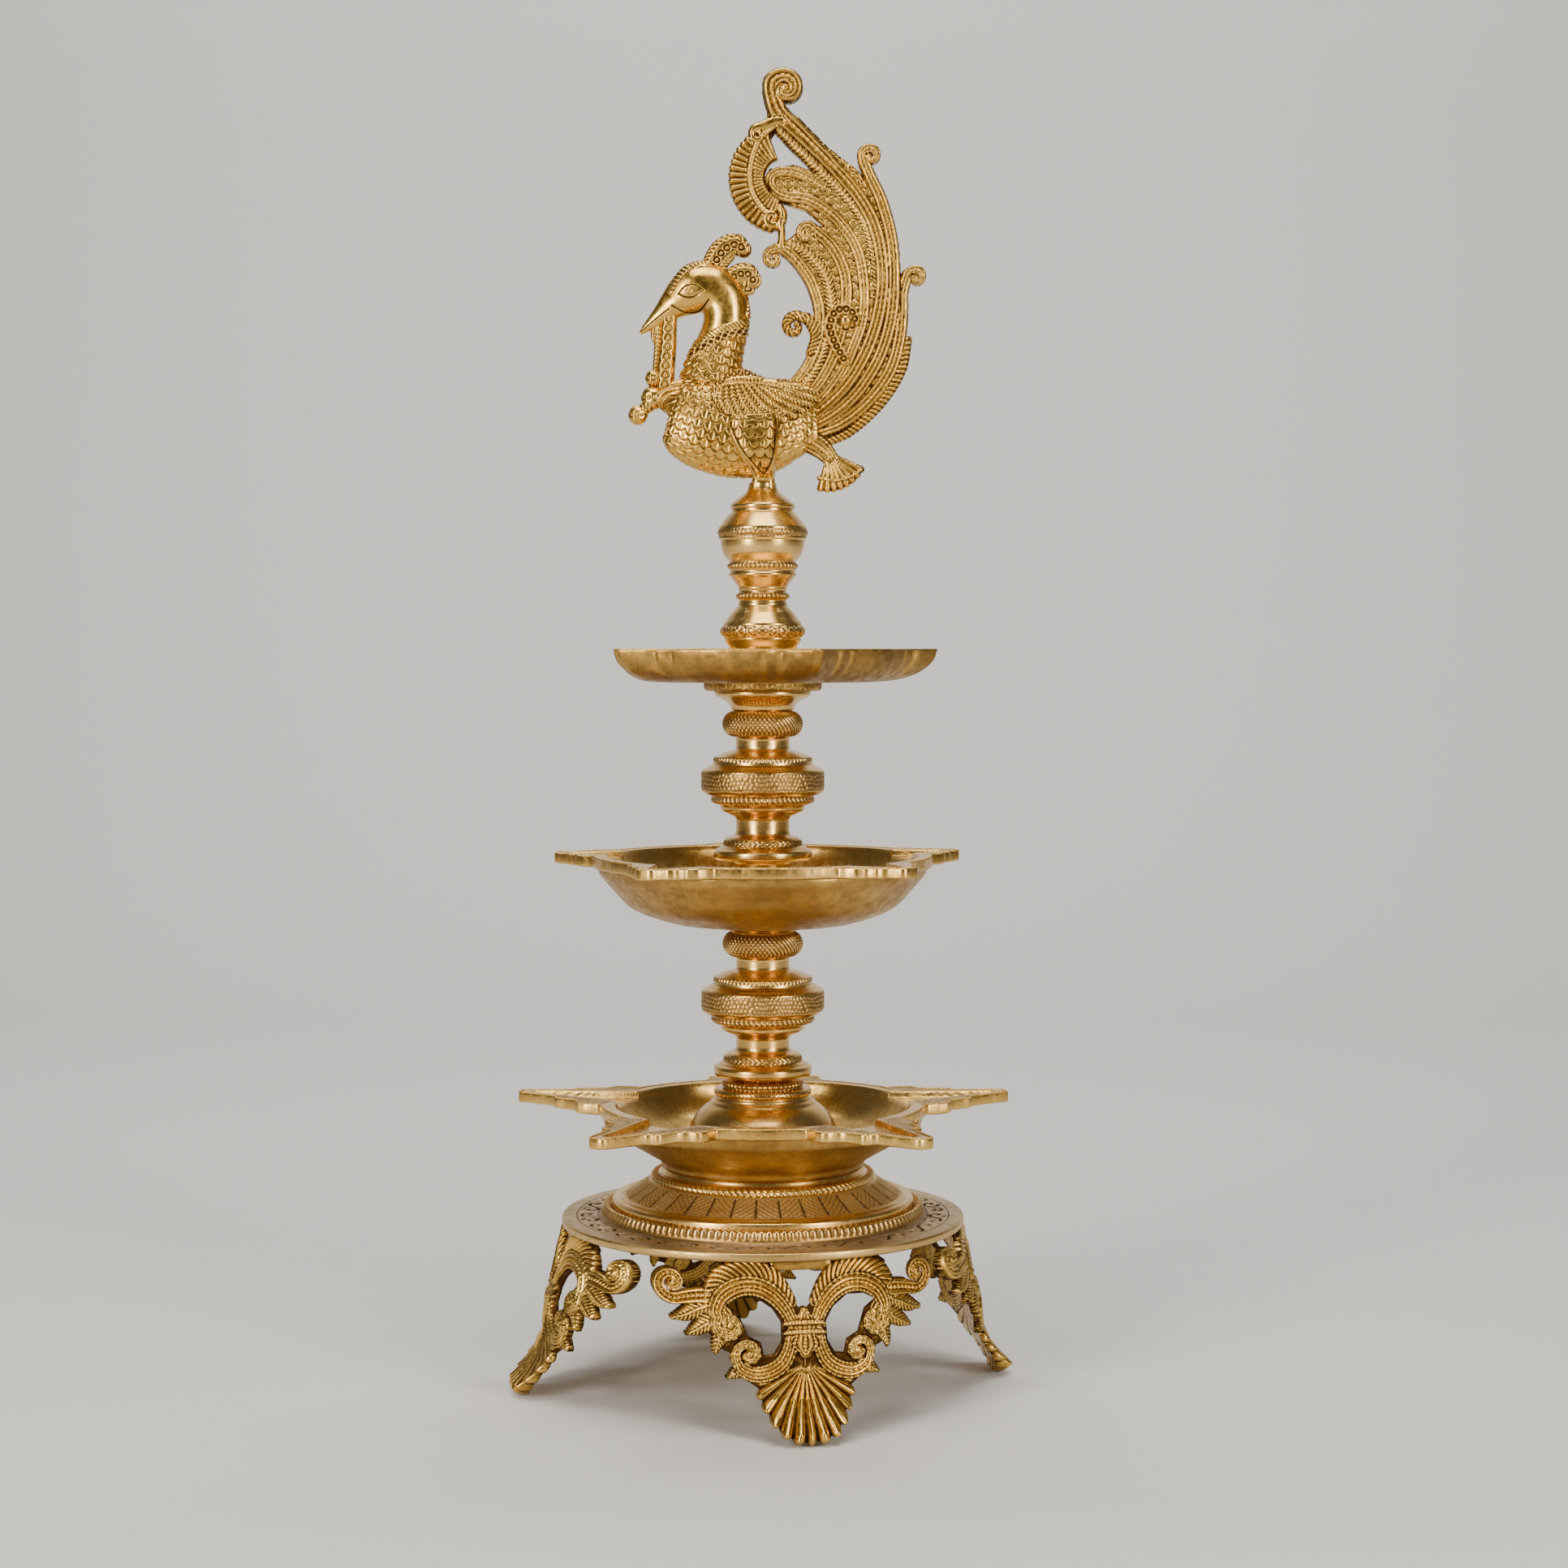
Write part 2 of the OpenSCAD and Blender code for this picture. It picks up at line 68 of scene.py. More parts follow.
def brass(name, bright, warm, dark, rough, shade_and_grime, rings=0.0, grain=0.1, grain_size=2600.0, patchy=1.0):
    """Brass with tarnish clouds and a fine surface; where the mesh's cavity value is low the colour turns
    dark, tarnish in the hollows together with painted shade of the recesses.
    """
    mat = bpy.data.materials.new(name)
    mat.use_nodes = True
    tree = mat.node_tree
    shader = tree.nodes["Principled BSDF"]

    def feed(shown, **inputs):
        """Set a node's inputs to numbers or colours, or link them to other nodes' outputs."""
        for key, value in inputs.items():
            socket = shown.inputs[key.replace("_", " ")]
            if isinstance(value, bpy.types.NodeSocket):
                tree.links.new(value, socket)
            else:
                socket.default_value = (*value, 1.0) if socket.type == "RGBA" else value
        return shown.outputs

    def node(kind, settings=(), **inputs):
        """A new node's outputs, after its settings and inputs are set."""
        made = tree.nodes.new("ShaderNode" + kind)
        for key, value in dict(settings).items():
            setattr(made, key, value)
        return feed(made, **inputs)

    def ramp(source, low_at, high_at, low_value, high_value):
        return node("MapRange", Value=source, From_Min=low_at, From_Max=high_at, To_Min=low_value,
                    To_Max=high_value)["Result"]

    def mix(factor, first, second):
        return node("Mix", {"data_type": "RGBA"}, Factor=factor, A=first, B=second)["Result"]

    def calc(operation, first, second):
        made = tree.nodes.new("ShaderNodeMath")
        made.operation = operation
        tree.links.new(first, made.inputs[0])
        if isinstance(second, bpy.types.NodeSocket):
            tree.links.new(second, made.inputs[1])
        else:
            made.inputs[1].default_value = second
        return made.outputs[0]

    where = node("TexCoord")["Object"]
    clouds = node("TexNoise", Vector=where, Scale=34.0, Detail=5.0, Roughness=0.6)["Fac"]
    spots = node("TexNoise", Vector=where, Scale=260.0, Detail=4.0, Roughness=0.65)["Fac"]
    fine = node("TexNoise", Vector=where, Scale=grain_size, Detail=2.0)["Fac"]
    cavity = node("Attribute", {"attribute_name": "cavity"})["Fac"]

    tint = mix(ramp(clouds, 0.36, 0.66, 0.0, 1.0), bright, warm)
    # Low cavity values darken the colour: tarnish in the hollows and painted shade in recesses, grooves and
    # under overlaps.
    hidden = ramp(cavity, 0.12, 0.62, 1.0, 0.0)
    blotch = ramp(spots, 0.3, 0.75, -0.22 * patchy, 0.34 * patchy)
    shade_and_soil = ramp(calc("MULTIPLY", calc("ADD", hidden, blotch), shade_and_grime), 0.0, 1.0, 0.0, 1.0)
    gloss = calc("ADD", ramp(spots, 0.3, 0.7, *rough), calc("MULTIPLY", shade_and_soil, 0.28))
    bump = {"Strength": grain, "Distance": 0.0004, "Height": fine}
    if rings:
        stretched = node("Mapping", Vector=where, Scale=(3.0, 3.0, 1900.0))["Vector"]
        lines = node("TexNoise", Vector=stretched, Scale=1.0, Detail=3.0)["Fac"]
        bump["Normal"] = node("Bump", Strength=rings, Distance=0.0003, Height=lines)["Normal"]
    normal = node("Bump", **bump)["Normal"]
    feed(shader, Metallic=1.0, Base_Color=mix(shade_and_soil, tint, dark), Roughness=gloss, Normal=normal)
    return mat


TURNED = brass("turned_brass", (0.78, 0.51, 0.17), (0.66, 0.39, 0.10), (0.15, 0.066, 0.018),
               rough=(0.19, 0.30), shade_and_grime=0.85, rings=0.12, grain=0.05, patchy=0.3)
CAST = brass("cast_brass", (0.78, 0.49, 0.11), (0.62, 0.35, 0.065), (0.06, 0.025, 0.006),
             rough=(0.15, 0.33), shade_and_grime=1.1, grain=0.1, grain_size=1500)
DISH_IN = brass("dish_brass", (0.77, 0.50, 0.15), (0.64, 0.38, 0.09), (0.10, 0.042, 0.010),
                rough=(0.20, 0.36), shade_and_grime=0.9, rings=0.12, grain=0.14, grain_size=1800)
# A darker copy of the dish brass for the dishes' outsides and undersides: painted shade, on a rougher turned
# finish.
DISH_OUT = brass("dish_outside_shaded_brass", (0.54, 0.33, 0.085), (0.35, 0.19, 0.045), (0.07, 0.030, 0.009),
                 rough=(0.28, 0.50), shade_and_grime=0.85, rings=0.25, grain=0.3, grain_size=1300)
PLATE = brass("plate_brass", (0.53, 0.39, 0.22), (0.43, 0.29, 0.14), (0.05, 0.024, 0.010),
              rough=(0.34, 0.52), shade_and_grime=1.1, rings=0.05, grain=0.35, grain_size=2000)
# A paler, rougher copy of the turned brass for the chased skirt: the paler colour is painted light, standing
# in for the light the upward-facing skirt would catch.
SKIRT_PAINTED_LIGHT = brass("chased_brass_painted_light", (0.80, 0.58, 0.25), (0.68, 0.46, 0.17), (0.09, 0.038, 0.010),
              rough=(0.36, 0.52), shade_and_grime=0.95, grain=0.1)
STUD = brass("stud_brass", (0.66, 0.44, 0.16), (0.54, 0.34, 0.11), (0.12, 0.05, 0.014),
             rough=(0.26, 0.42), shade_and_grime=0.8, grain=0.1)
STEEL = brass("zinc_steel", (0.58, 0.56, 0.52), (0.46, 0.44, 0.41), (0.12, 0.10, 0.08),
              rough=(0.26, 0.42), shade_and_grime=0.7, grain=0.1)


# ---------------------------------------------------------------- mesh making

def unit_noise(seed, *coords):
    """Repeatable value noise, 0 to 1, smooth over one unit of the given coordinates."""
    total = 0.0
    base = [np.floor(c) for c in coords]
    part = [c - b for c, b in zip(coords, base)]
    part = [p * p * (3 - 2 * p) for p in part]
    for corner in range(2 ** len(coords)):
        weight, key = 1.0, float(seed) * 17.13
        for axis, (b, p) in enumerate(zip(base, part)):
            bit = (corner >> axis) & 1
            weight = weight * (p if bit else 1 - p)
            key = key + (b + bit) * (12.9898, 78.233, 37.719)[axis]
        total = total + weight * np.mod(np.sin(key) * 43758.5453, 1.0)
    return total


def step_up(x, a, b):
    """0 below a, 1 above b, smooth between."""
    t = np.clip((x - a) / (b - a), 0, 1)
    return t * t * (3 - 2 * t)


def groove(value, place, width):
    """1 at a place, falling off on both sides."""
    return np.exp(-((value - place) / width) ** 2)


NO_TRIS = np.zeros((0, 3), int)


def make_piece(name, skins, mats, body, slot, *nodes):
    """One mesh of closed skins: each is points in mm, quads, triangles, cavity and material per quad."""
    parts, count = [], 0
    for points, quads, tris, cavity, quad_mats in skins:
        faces = np.vstack([quads[:, [0, 1, 2]], quads[:, [0, 2, 3]], tris])
        a, b, c = (points[faces[:, k]] for k in range(3))
        if np.einsum("ij,ij->i", a, np.cross(b, c)).sum() < 0:
            quads, tris = quads[:, ::-1], tris[:, ::-1]
        parts.append((points * MM, quads + count, tris + count, np.broadcast_to(cavity, len(points)),
                      np.broadcast_to(quad_mats, len(quads))))
        count += len(points)
    points, quads, tris, cavity, quad_mats = map(np.concatenate, zip(*parts))
    mesh = bpy.data.meshes.new(name)
    mesh.vertices.add(len(points))
    mesh.loops.add(quads.size + tris.size)
    mesh.polygons.add(len(quads) + len(tris))
    corners = np.concatenate([quads.ravel(), tris.ravel()])
    starts = np.concatenate([np.arange(len(quads)) * 4, quads.size + np.arange(len(tris)) * 3])
    indices = np.concatenate([quad_mats, np.zeros(len(tris))])
    mesh.vertices.foreach_set("co", points.astype(np.float32).ravel())
    mesh.loops.foreach_set("vertex_index", corners.astype(np.int32))
    mesh.polygons.foreach_set("loop_start", starts.astype(np.int32))
    mesh.polygons.foreach_set("material_index", indices.astype(np.int32))
    mesh.update(calc_edges=True)
    mesh.polygons.foreach_set("use_smooth", np.ones(len(mesh.polygons), bool))
    stored = mesh.attributes.new("cavity", "FLOAT", "POINT")
    stored.data.foreach_set("value", np.clip(cavity, 0, 1).astype(np.float32))
    for mat in mats:
        mesh.materials.append(mat)
    mesh.validate()
    piece = bpy.data.objects.new(name, mesh)
    bpy.context.scene.collection.objects.link(piece)
    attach(piece, body)
    if nodes:
        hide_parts(*nodes)


def around(theta, r, z):
    """Points at the given angles, radius and height about the column axis."""
    return np.stack([r * np.cos(theta), r * np.sin(theta), z + 0 * theta], axis=-1)


def tangents(line):
    """Unit tangents along an open line."""
    tangent = np.gradient(line, axis=0)
    return tangent / (np.hypot(*tangent.T)[:, None] + 1e-9)


def skin(grid, cavity, first_cap=0.5, last_cap=0.5):
    """A grid of points [row, column], closed round the columns, with a fan on each end row."""
    rows, columns = grid.shape[:2]
    index = np.arange(rows * columns).reshape(rows, columns)
    turn = np.roll(index, -1, axis=1)
    quads = np.stack([index[:-1], turn[:-1], turn[1:], index[1:]], axis=-1).reshape(-1, 4)
    points = np.vstack([grid.reshape(-1, 3), grid[0].mean(axis=0), grid[-1].mean(axis=0)])
    centre = np.full(columns, rows * columns)
    tris = np.vstack([np.stack([centre, turn[0], index[0]], axis=-1),
                      np.stack([index[-1], turn[-1], centre + 1], axis=-1)])
    shade = np.concatenate([np.broadcast_to(cavity, (rows, columns)).ravel(), [first_cap, last_cap]])
    return points, quads, tris, shade, 0


def evenly(points, count, endpoint=True):
    """An evenly spaced line through the points, and the length up to each of its points. 'count' gives how
    many there are from the whole length. Extra columns ride along."""
    along = np.concatenate([[0], np.cumsum(np.hypot(*np.diff(points[:, :2], axis=0).T))])
    even = np.linspace(0, along[-1], count(along[-1]), endpoint=endpoint)
    return np.stack([np.interp(even, along, column) for column in points.T], axis=-1), even


def resample(points, pitch):
    """Points every 'pitch' along an outline, with its corners very slightly eased."""
    fine, _ = evenly(np.asarray(points, float), lambda length: max(8, int(length / pitch)))
    eased = fine.copy()
    eased[1:-1] = 0.5 * fine[1:-1] + 0.25 * (fine[:-2] + fine[2:])
    return eased


def blurred(values, cells):
    """A running mean over 2 * cells + 1 rows."""
    padded = np.pad(values, cells, mode="edge")
    return np.convolve(padded, np.ones(2 * cells + 1) / (2 * cells + 1), mode="valid")


def round_angles(columns):
    """Angles of the columns round a body."""
    return np.arange(int(columns * FINE)) * TAU / int(columns * FINE)


def arc(r, z, radius, start, end, n=10):
    """Points on a round stretch of a profile, angles in degrees."""
    return [(r + radius * math.cos(math.radians(a)), z + radius * math.sin(math.radians(a)))
            for a in np.linspace(start, end, n + 1)]


# Marks that a milling wheel, punch or graver leaves on a turned band. Each gives 0 (untouched) to
# 1 (deepest) for the angle, the height within the band from 0 to 1, and the count round the ring.

def ticks(angle, height, count):
    """Short upright nicks."""
    return (0.5 - 0.5 * np.cos(count * angle)) ** 3 * step_up(height, 0.25, 0.5)


def beads(angle, height, count):
    """A row of round beads."""
    across = np.cos(0.5 * count * angle) ** 2
    return 1 - np.sqrt(np.clip(across * (1 - (2 * height - 1) ** 2 * 0.9), 0, 1))


def rope(angle, height, count):
    """A slanting twist."""
    return (0.5 - 0.5 * np.cos(count * angle + height * 3.2)) ** 2


def crosshatch(angle, height, count):
    """Crossed cuts, deeper in some places than in others."""
    lean = height * 13
    one = np.abs(np.sin(0.5 * count * angle + lean))
    two = np.abs(np.sin(0.5 * count * angle - lean))
    patchy = 0.6 + 0.4 * np.sin(3 * angle + 1.0)
    return np.clip(1.35 - 1.5 * np.minimum(one, two * patchy + (1 - patchy)), 0, 1)


def punched(angle, height, count):
    """Irregular punch marks in five rows."""
    u, v = count * angle / TAU, height * 5
    u = u + 0.5 * unit_noise(7, u * 0.9, v * 0.9)
    v = v + 0.7 * unit_noise(9, u * 0.8, v * 0.8)
    shift = 0.5 * np.mod(np.floor(v), 2) + 0.3 * np.sin(5 * angle)
    grain = np.abs(np.sin(math.pi * (u + shift)) * np.sin(math.pi * v)) ** 0.55
    return 1 - grain * (0.62 + 0.38 * unit_noise(5, u * 1.3, v * 1.3))


def herringbone(angle, height, count):
    """Chevrons."""
    return (0.5 + 0.5 * np.sin(count * angle + 5.2 * np.abs(height - 0.5) * 2)) ** 1.5


def diamonds(angle, height, count):
    """A net of diamonds."""
    lean = (height - 0.5) * math.pi
    net = np.minimum(np.abs(np.sin(0.5 * count * angle + lean)), np.abs(np.sin(0.5 * count * angle - lean)))
    return np.clip(1 - net * 2.4, 0, 1)


def turned(profile, bands=(), columns=448, pitch=0.5, hidden=0):
    """A lathe-turned skin. bands: (low z, high z, mark, count, depth). The first and last 'hidden' points of
    the profile lie inside a joint and stay coarse."""
    last = len(profile) - hidden
    seen = resample(profile[hidden:last], pitch / FINE)
    coarse = np.reshape(profile[:hidden] + profile[last:], (-1, 2))
    line = np.vstack([coarse[:hidden], seen, coarse[hidden:]])
    tangent = tangents(line)
    theta, z = np.meshgrid(round_angles(columns), line[:, 1])
    depth = np.zeros_like(z)
    marked = np.zeros_like(z)
    for bottom, top, mark, count, deep in bands:
        inside = (z > bottom) & (z < top)
        level = (z - bottom) / (top - bottom)
        edge = step_up(level, 0, 0.08) * step_up(1 - level, 0, 0.08)
        value = mark(theta, level, count) * edge * inside
        depth -= deep * value
        marked = np.maximum(marked, value * (0.55 + 0.45 * min(1, deep / 0.4)))
    sway = 0.04 * (unit_noise(3, theta * 3.1, z * 0.11) - 0.5) * (line[:, 0] > 8)[:, None]
    radius = line[:, 0][:, None] + tangent[:, 1][:, None] * depth + sway
    # Cavity: lower where the profile dips below its neighbours and in the milled marks, so these recesses get
    # painted shade as well as tarnish.
    hollow = line[:, 0] - blurred(line[:, 0], int(3.0 * FINE / pitch))
    cavity = 0.66 + 0.16 * np.clip(hollow, -2, 1)[:, None] - 0.7 * marked
    return skin(around(theta, radius, z - tangent[:, 0][:, None] * depth), cavity, 0.3, 0.3)


STUD_HOLE = 5.05


def bored(outline, bottom, top):
    """A section's outline with the blind stud holes in its two ends."""
    deep, centre = 9.0, 0.4
    first = [(centre, bottom + deep), (STUD_HOLE, bottom + deep), (STUD_HOLE, bottom)]
    last = [(STUD_HOLE, top), (STUD_HOLE, top - deep), (centre, top - deep)]
    return first + outline + last


# ---------------------------------------------------------------- relief

def spline(points, pitch=0.6):
    """An evenly spaced smooth curve through the points, and the length up to each of its points."""
    p = np.asarray(points, float)
    p = np.vstack([2 * p[0] - p[1], p, 2 * p[-1] - p[-2]])
    t = np.linspace(0, 1, 16, endpoint=False)[:, None]
    runs = [0.5 * (2 * b + (c - a) * t + (2 * a - 5 * b + 4 * c - d) * t ** 2
                   + (3 * b - a - 3 * c + d) * t ** 3)
            for a, b, c, d in zip(p[:-3], p[1:-2], p[2:-1], p[3:])]
    return evenly(np.vstack(runs + [p[-2:-1]]), lambda length: max(4, int(length / pitch)) + 1)


def widths(points, half_width):
    """The stations of a stroke with the same half width all along."""
    return [(*point, half_width) for point in points]


def spiral(u, v, radii, angles, widths, n=12):
    """Points of a scrolled end: centre, then first and last radius, angle in degrees and half width."""
    t = np.linspace(0, 1, n)
    r, a, w = (first + (last - first) * t for first, last in (radii, angles, widths))
    a = np.radians(a)
    return list(zip(u + r * np.cos(a), v + r * np.sin(a), w))


def signed_distance(u, v, outline):
    """Distance to a closed outline, negative inside it."""
    corners = np.asarray(outline, float)
    best = np.full(u.shape, 1e9)
    inside = np.zeros(u.shape, bool)
    for (au, av), (bu, bv) in zip(corners, np.roll(corners, -1, axis=0)):
        du, dv = bu - au, bv - av
        t = np.clip(((u - au) * du + (v - av) * dv) / (du * du + dv * dv + 1e-12), 0, 1)
        best = np.minimum(best, np.hypot(u - au - t * du, v - av - t * dv))
        if av != bv:
            crossing = ((av > v) != (bv > v)) & (u < au + (v - av) * du / (bv - av))
            inside ^= crossing
    return np.where(inside, -best, best)


class Canvas:
    """Relief worked out at points (u, v) in mm. Shapes are laid on it one over another, like rolls of wax.
    It holds each point's height, its cavity value and its distance outside the sheet's rim."""

    def __init__(self, u, v):
        self.u, self.v = u, v
        self.height = np.zeros(u.shape)
        self.cavity = np.full(u.shape, 0.55)
        self.outside = np.full(u.shape, 99.0)

    def lay(self, inside, height, cavity, gap):
        """Cover the points inside a new shape, and let the sheet reach as far as the shape does."""
        self.height = np.where(inside, height, self.height)
        self.cavity = np.where(inside, cavity, self.cavity)
        self.outside = np.minimum(self.outside, gap)

    def ground(self, outline, level, scale=0.0, rise=1.0):
        """A ground inside an outline: stippled, or covered with feather scales 'scale' mm long."""
        gap = signed_distance(self.u, self.v, outline)
        # The sunken ground gets low cavity values: painted shade, darkest on the stippled ground.
        if scale:
            grain = scales(self.v / scale, self.u / (1.1 * scale))
            self.lay(gap < 0, level + rise * grain, 0.08 + 0.8 * grain, gap)
        else:
            grain = unit_noise(11, self.u * 0.9, self.v * 0.9)
            self.lay(gap < 0, level + 0.05 * rise * grain, 0.02 + 0.2 * grain, gap)

    def cut(self, outline):
        """An opening."""
        self.outside = np.maximum(self.outside, -signed_distance(self.u, self.v, outline))

    def stroke(self, points, mark, low_level, top_level):
        """A stroke through (u, v, half width) points, whose mark gives 0 to 1 between two levels."""
        line, along = spline(points)
        first, last = 0, len(line) - 1
        margin = line[:, 2].max() + 1.5
        lower, upper = line[:, :2].min(axis=0) - margin, line[:, :2].max(axis=0) + margin
        near = (self.u > lower[0]) & (self.u < upper[0]) & (self.v > lower[1]) & (self.v < upper[1])
        u, v = self.u[near], self.v[near]
        nearest = np.zeros(len(u), int)
        chunk = 20000
        for start in range(0, len(u), chunk):
            part = slice(start, start + chunk)
            gaps = (u[part, None] - line[None, :, 0]) ** 2 + (v[part, None] - line[None, :, 1]) ** 2
            nearest[part] = gaps.argmin(axis=1)
        tu, tv = tangents(line[:, :2])[nearest].T
        du, dv = u - line[nearest, 0], v - line[nearest, 1]
        pitch = along[1]
        lengthwise = np.clip(du * tu + dv * tv, np.where(nearest == first, 0, -pitch),
                             np.where(nearest == last, 0, pitch))
        gap = np.hypot(du - lengthwise * tu, dv - lengthwise * tv)
        half = line[nearest, 2]
        across = np.sign(tu * dv - tv * du) * gap / half
        value = mark(np.clip(across, -1, 1), along[nearest] + lengthwise, half)
        inside = np.abs(across) < 1
        self.height[near] = np.where(inside, low_level + (top_level - low_level) * value, self.height[near])
        # Low parts of a stroke get low cavity values: painted shade in its grooves and at its sides.
        self.cavity[near] = np.where(inside, np.clip(1.5 * value - 0.46, 0.0, 1), self.cavity[near])
        self.outside[near] = np.minimum(self.outside[near], gap - half)

    def fan(self, u, v, inner, rim, flutes, low_level, top_level, scallop=0.0):
        """Flutes spreading from a centre. 'rim' lists (angle in degrees, radius) anticlockwise."""
        du, dv = self.u - u, self.v - v
        radius = np.hypot(du, dv)
        angles, radii = np.array(rim, float).T
        spread = angles[-1] - angles[0]
        angle = np.mod(np.degrees(np.arctan2(dv, du)) - angles[0], 360)
        turn = angle / spread
        flute = np.abs(np.cos(math.pi * (flutes * turn - 0.5)))
        rim_r = np.interp(angle, angles - angles[0], radii) - scallop * (1 - flute)
        past = np.abs(np.where(angle > 180 + spread / 2, 360 - angle, angle - spread))
        within = -np.minimum(angle, spread - angle)
        sideways = np.radians(np.where(turn > 1, past, within)) * radius
        gap = np.maximum(np.maximum(radius - rim_r, inner - radius), sideways)
        edge = step_up(-gap, 0, 1.2)
        value = (0.2 + 0.8 * flute ** 0.7) * (0.6 + 0.4 * edge)
        # Cavity: darker between the flutes and towards the rim: painted shade.
        self.lay(gap < 0, low_level + (top_level - low_level) * value,
                 0.05 + 0.9 * flute * (0.55 + 0.45 * edge), gap)

    def boss(self, u, v, radius, low_level, top_level, ring=0.0):
        """A round knob, with a groove round it where ring is above 0."""
        gap = np.hypot(self.u - u, self.v - v)
        value = crown(gap / radius)
        if ring:
            share = (gap - ring) / (radius - ring)
            value = np.where(gap > ring, 0.5 + 0.4 * np.cos(math.pi * share * 2 - math.pi), value)
        # Cavity: darker towards the knob's foot: painted shade.
        self.lay(gap < radius, low_level + (top_level - low_level) * value, 0.15 + 0.8 * value, gap
                 - radius)


# Marks of a stroke: 'a' runs from -1 to 1 across it, 's' is the length along it and 'w' its half width in mm.

def crown(a):
    """A half round."""
    return np.sqrt(np.clip(1 - a * a, 0, 1))


def roll(a, s, w):
    """A plain rounded stroke."""
    return 0.25 + 0.75 * crown(a)


def ridged(count, pitch):
    """Parallel ridges, every second one beaded."""
    def mark(a, s, w):
        lane = np.clip((a + 1) * 0.5 * count, 0, count - 1e-6)
        ridge = crown(2 * (lane - np.floor(lane)) - 1) ** 1.5
        bead = 0.5 + 0.5 * np.abs(np.cos(math.pi * s / pitch))
        beaded = np.mod(np.floor(lane), 2) == (count // 2) % 2
        return (0.5 + 0.5 * crown(a)) * (0.25 + 0.75 * ridge * np.where(beaded, bead, 1.0))
    return mark


def barbed(pitch, lean=1.0, quill=0.22):
    """A feather or leaf: slanting barbs each side of a quill."""
    def mark(a, s, w):
        barb = np.abs(np.cos(math.pi * (s - lean * np.abs(a) * w) / pitch)) ** 0.8
        stem = np.exp(-(a / quill) ** 4)
        return (0.4 + 0.6 * crown(a)) * np.maximum(0.25 + 0.62 * barb, stem)
    return mark


def fringed(pitch, lean=0.9):
    """Lobes slanting one way across the whole stroke, as on a gadrooned edge."""
    def mark(a, s, w):
        lobe = np.abs(np.cos(math.pi * (s + lean * a * w) / pitch)) ** 0.8
        return (0.65 + 0.35 * crown(a)) * (0.2 + 0.8 * lobe)
    return mark


def braided(pitch):
    """Crossed strands between two raised edges."""
    def mark(a, s, w):
        wave = math.pi * s / pitch
        one, two = np.abs(a - 0.62 * np.sin(wave)), np.abs(a + 0.62 * np.sin(wave))
        strand = np.clip(1.15 - 3.2 * np.minimum(one, two), 0, 1)
        rail = np.clip(1.1 - 6.5 * np.abs(np.abs(a) - 0.86), 0, 1)
        return 0.2 + 0.8 * np.maximum(strand * 0.9, rail)
    return mark


def ringed(pitch):
    """A row of punched rings with a dot in each."""
    def mark(a, s, w):
        gap = np.hypot(np.mod(s, pitch) - 0.5 * pitch, a * w) / (0.42 * pitch)
        return (0.75 + 0.25 * crown(a)) * (0.9 - 0.65 * groove(gap, 0.85, 0.28))
    return mark


def scales(a, b):
    """Overlapping round scales: 'a' counts rows towards the tips, 'b' counts scales along a row."""
    best = np.full(np.shape(a), -1.0)
    for row, on_top in ((np.floor(a) - 1, True), (np.floor(a), False)):
        t = a - row
        off = 2 * (np.mod(b + 0.5 * np.mod(row, 2), 1.0) - 0.5)
        tip = 1.0 + 0.72 * crown(off)
        value = 0.12 + 0.88 * (t / 1.72) - 0.2 * groove(off, 0, 0.14) * step_up(t, 0.4, 1.0)
        value -= 0.25 * step_up(t, tip - 0.1, tip)
        if on_top:
            past = t - tip
            best = np.where(past < 0, value, best)
            # A painted shadow below each overlapping tip: this value serves as both height and cavity value,
            # so the dip is also drawn dark.
            shadow = groove(np.maximum(past, 0), 0, 0.13)
        else:
            best = np.where(best < 0, value - 0.55 * shadow, best)
    return np.clip(best, 0, 1)


def cast_sheet(canvas, front, back, rounding, low_edge):
    """Closed skin of a casting from a canvas on a regular grid. 'front' and 'back' turn (u, v, height) into
    x, y, z. The rim follows the canvas's zero distance and is rounded over."""
    u, v, gap = canvas.u.copy(), canvas.v.copy(), canvas.outside
    step = u[0, 1] - u[0, 0]
    good = gap < 0.35 * step
    cells = good[:-1, :-1] & good[:-1, 1:] & good[1:, :-1] & good[1:, 1:]
    padded = np.pad(cells, 1)
    tally = padded.astype(int)
    count = tally[:-1, :-1] + tally[:-1, 1:] + tally[1:, :-1] + tally[1:, 1:]
    rim = (count > 0) & (count < 4)
    slope_v, slope_u = np.gradient(gap, step)
    steep = slope_u ** 2 + slope_v ** 2 + 1e-6
    limit = 0.7 * step
    for place, slope in ((u, slope_u), (v, slope_v)):
        place[rim] -= np.clip(gap * slope / steep, -limit, limit)[rim]
    fall = crown(1 - np.clip(-gap / rounding, 0, 1))
    height = canvas.height * (low_edge + (1 - low_edge) * fall)
    used = count > 0
    total = int(used.sum())
    index = np.full(u.shape, -1)
    index[used] = np.arange(total)
    corner = [index[:-1, :-1][cells], index[:-1, 1:][cells], index[1:, 1:][cells], index[1:, :-1][cells]]
    faces = [np.stack(corner, axis=-1), np.stack(corner[::-1], axis=-1) + total]
    # a wall on each side of a cell that has no neighbour there, between its two corners on that side
    rows, columns = cells.shape
    for down, right, first, last in ((-1, 0, (0, 0), (0, 1)), (1, 0, (1, 1), (1, 0)),
                                     (0, -1, (1, 0), (0, 0)), (0, 1, (0, 1), (1, 1))):
        neighbour = padded[1 + down:1 + down + rows, 1 + right:1 + right + columns]
        row, column = np.nonzero(cells & ~neighbour)
        a, b = (index[row + corner_row, column + corner_column] for corner_row,
                corner_column in (first, last))
        faces.append(np.stack([b, a, a + total, b + total], axis=-1))
    seen = u[used], v[used], height[used]
    points = np.vstack([front(*seen), back(*seen)])
    return points, np.vstack(faces), NO_TRIS, np.tile(canvas.cavity[used], 2), 0


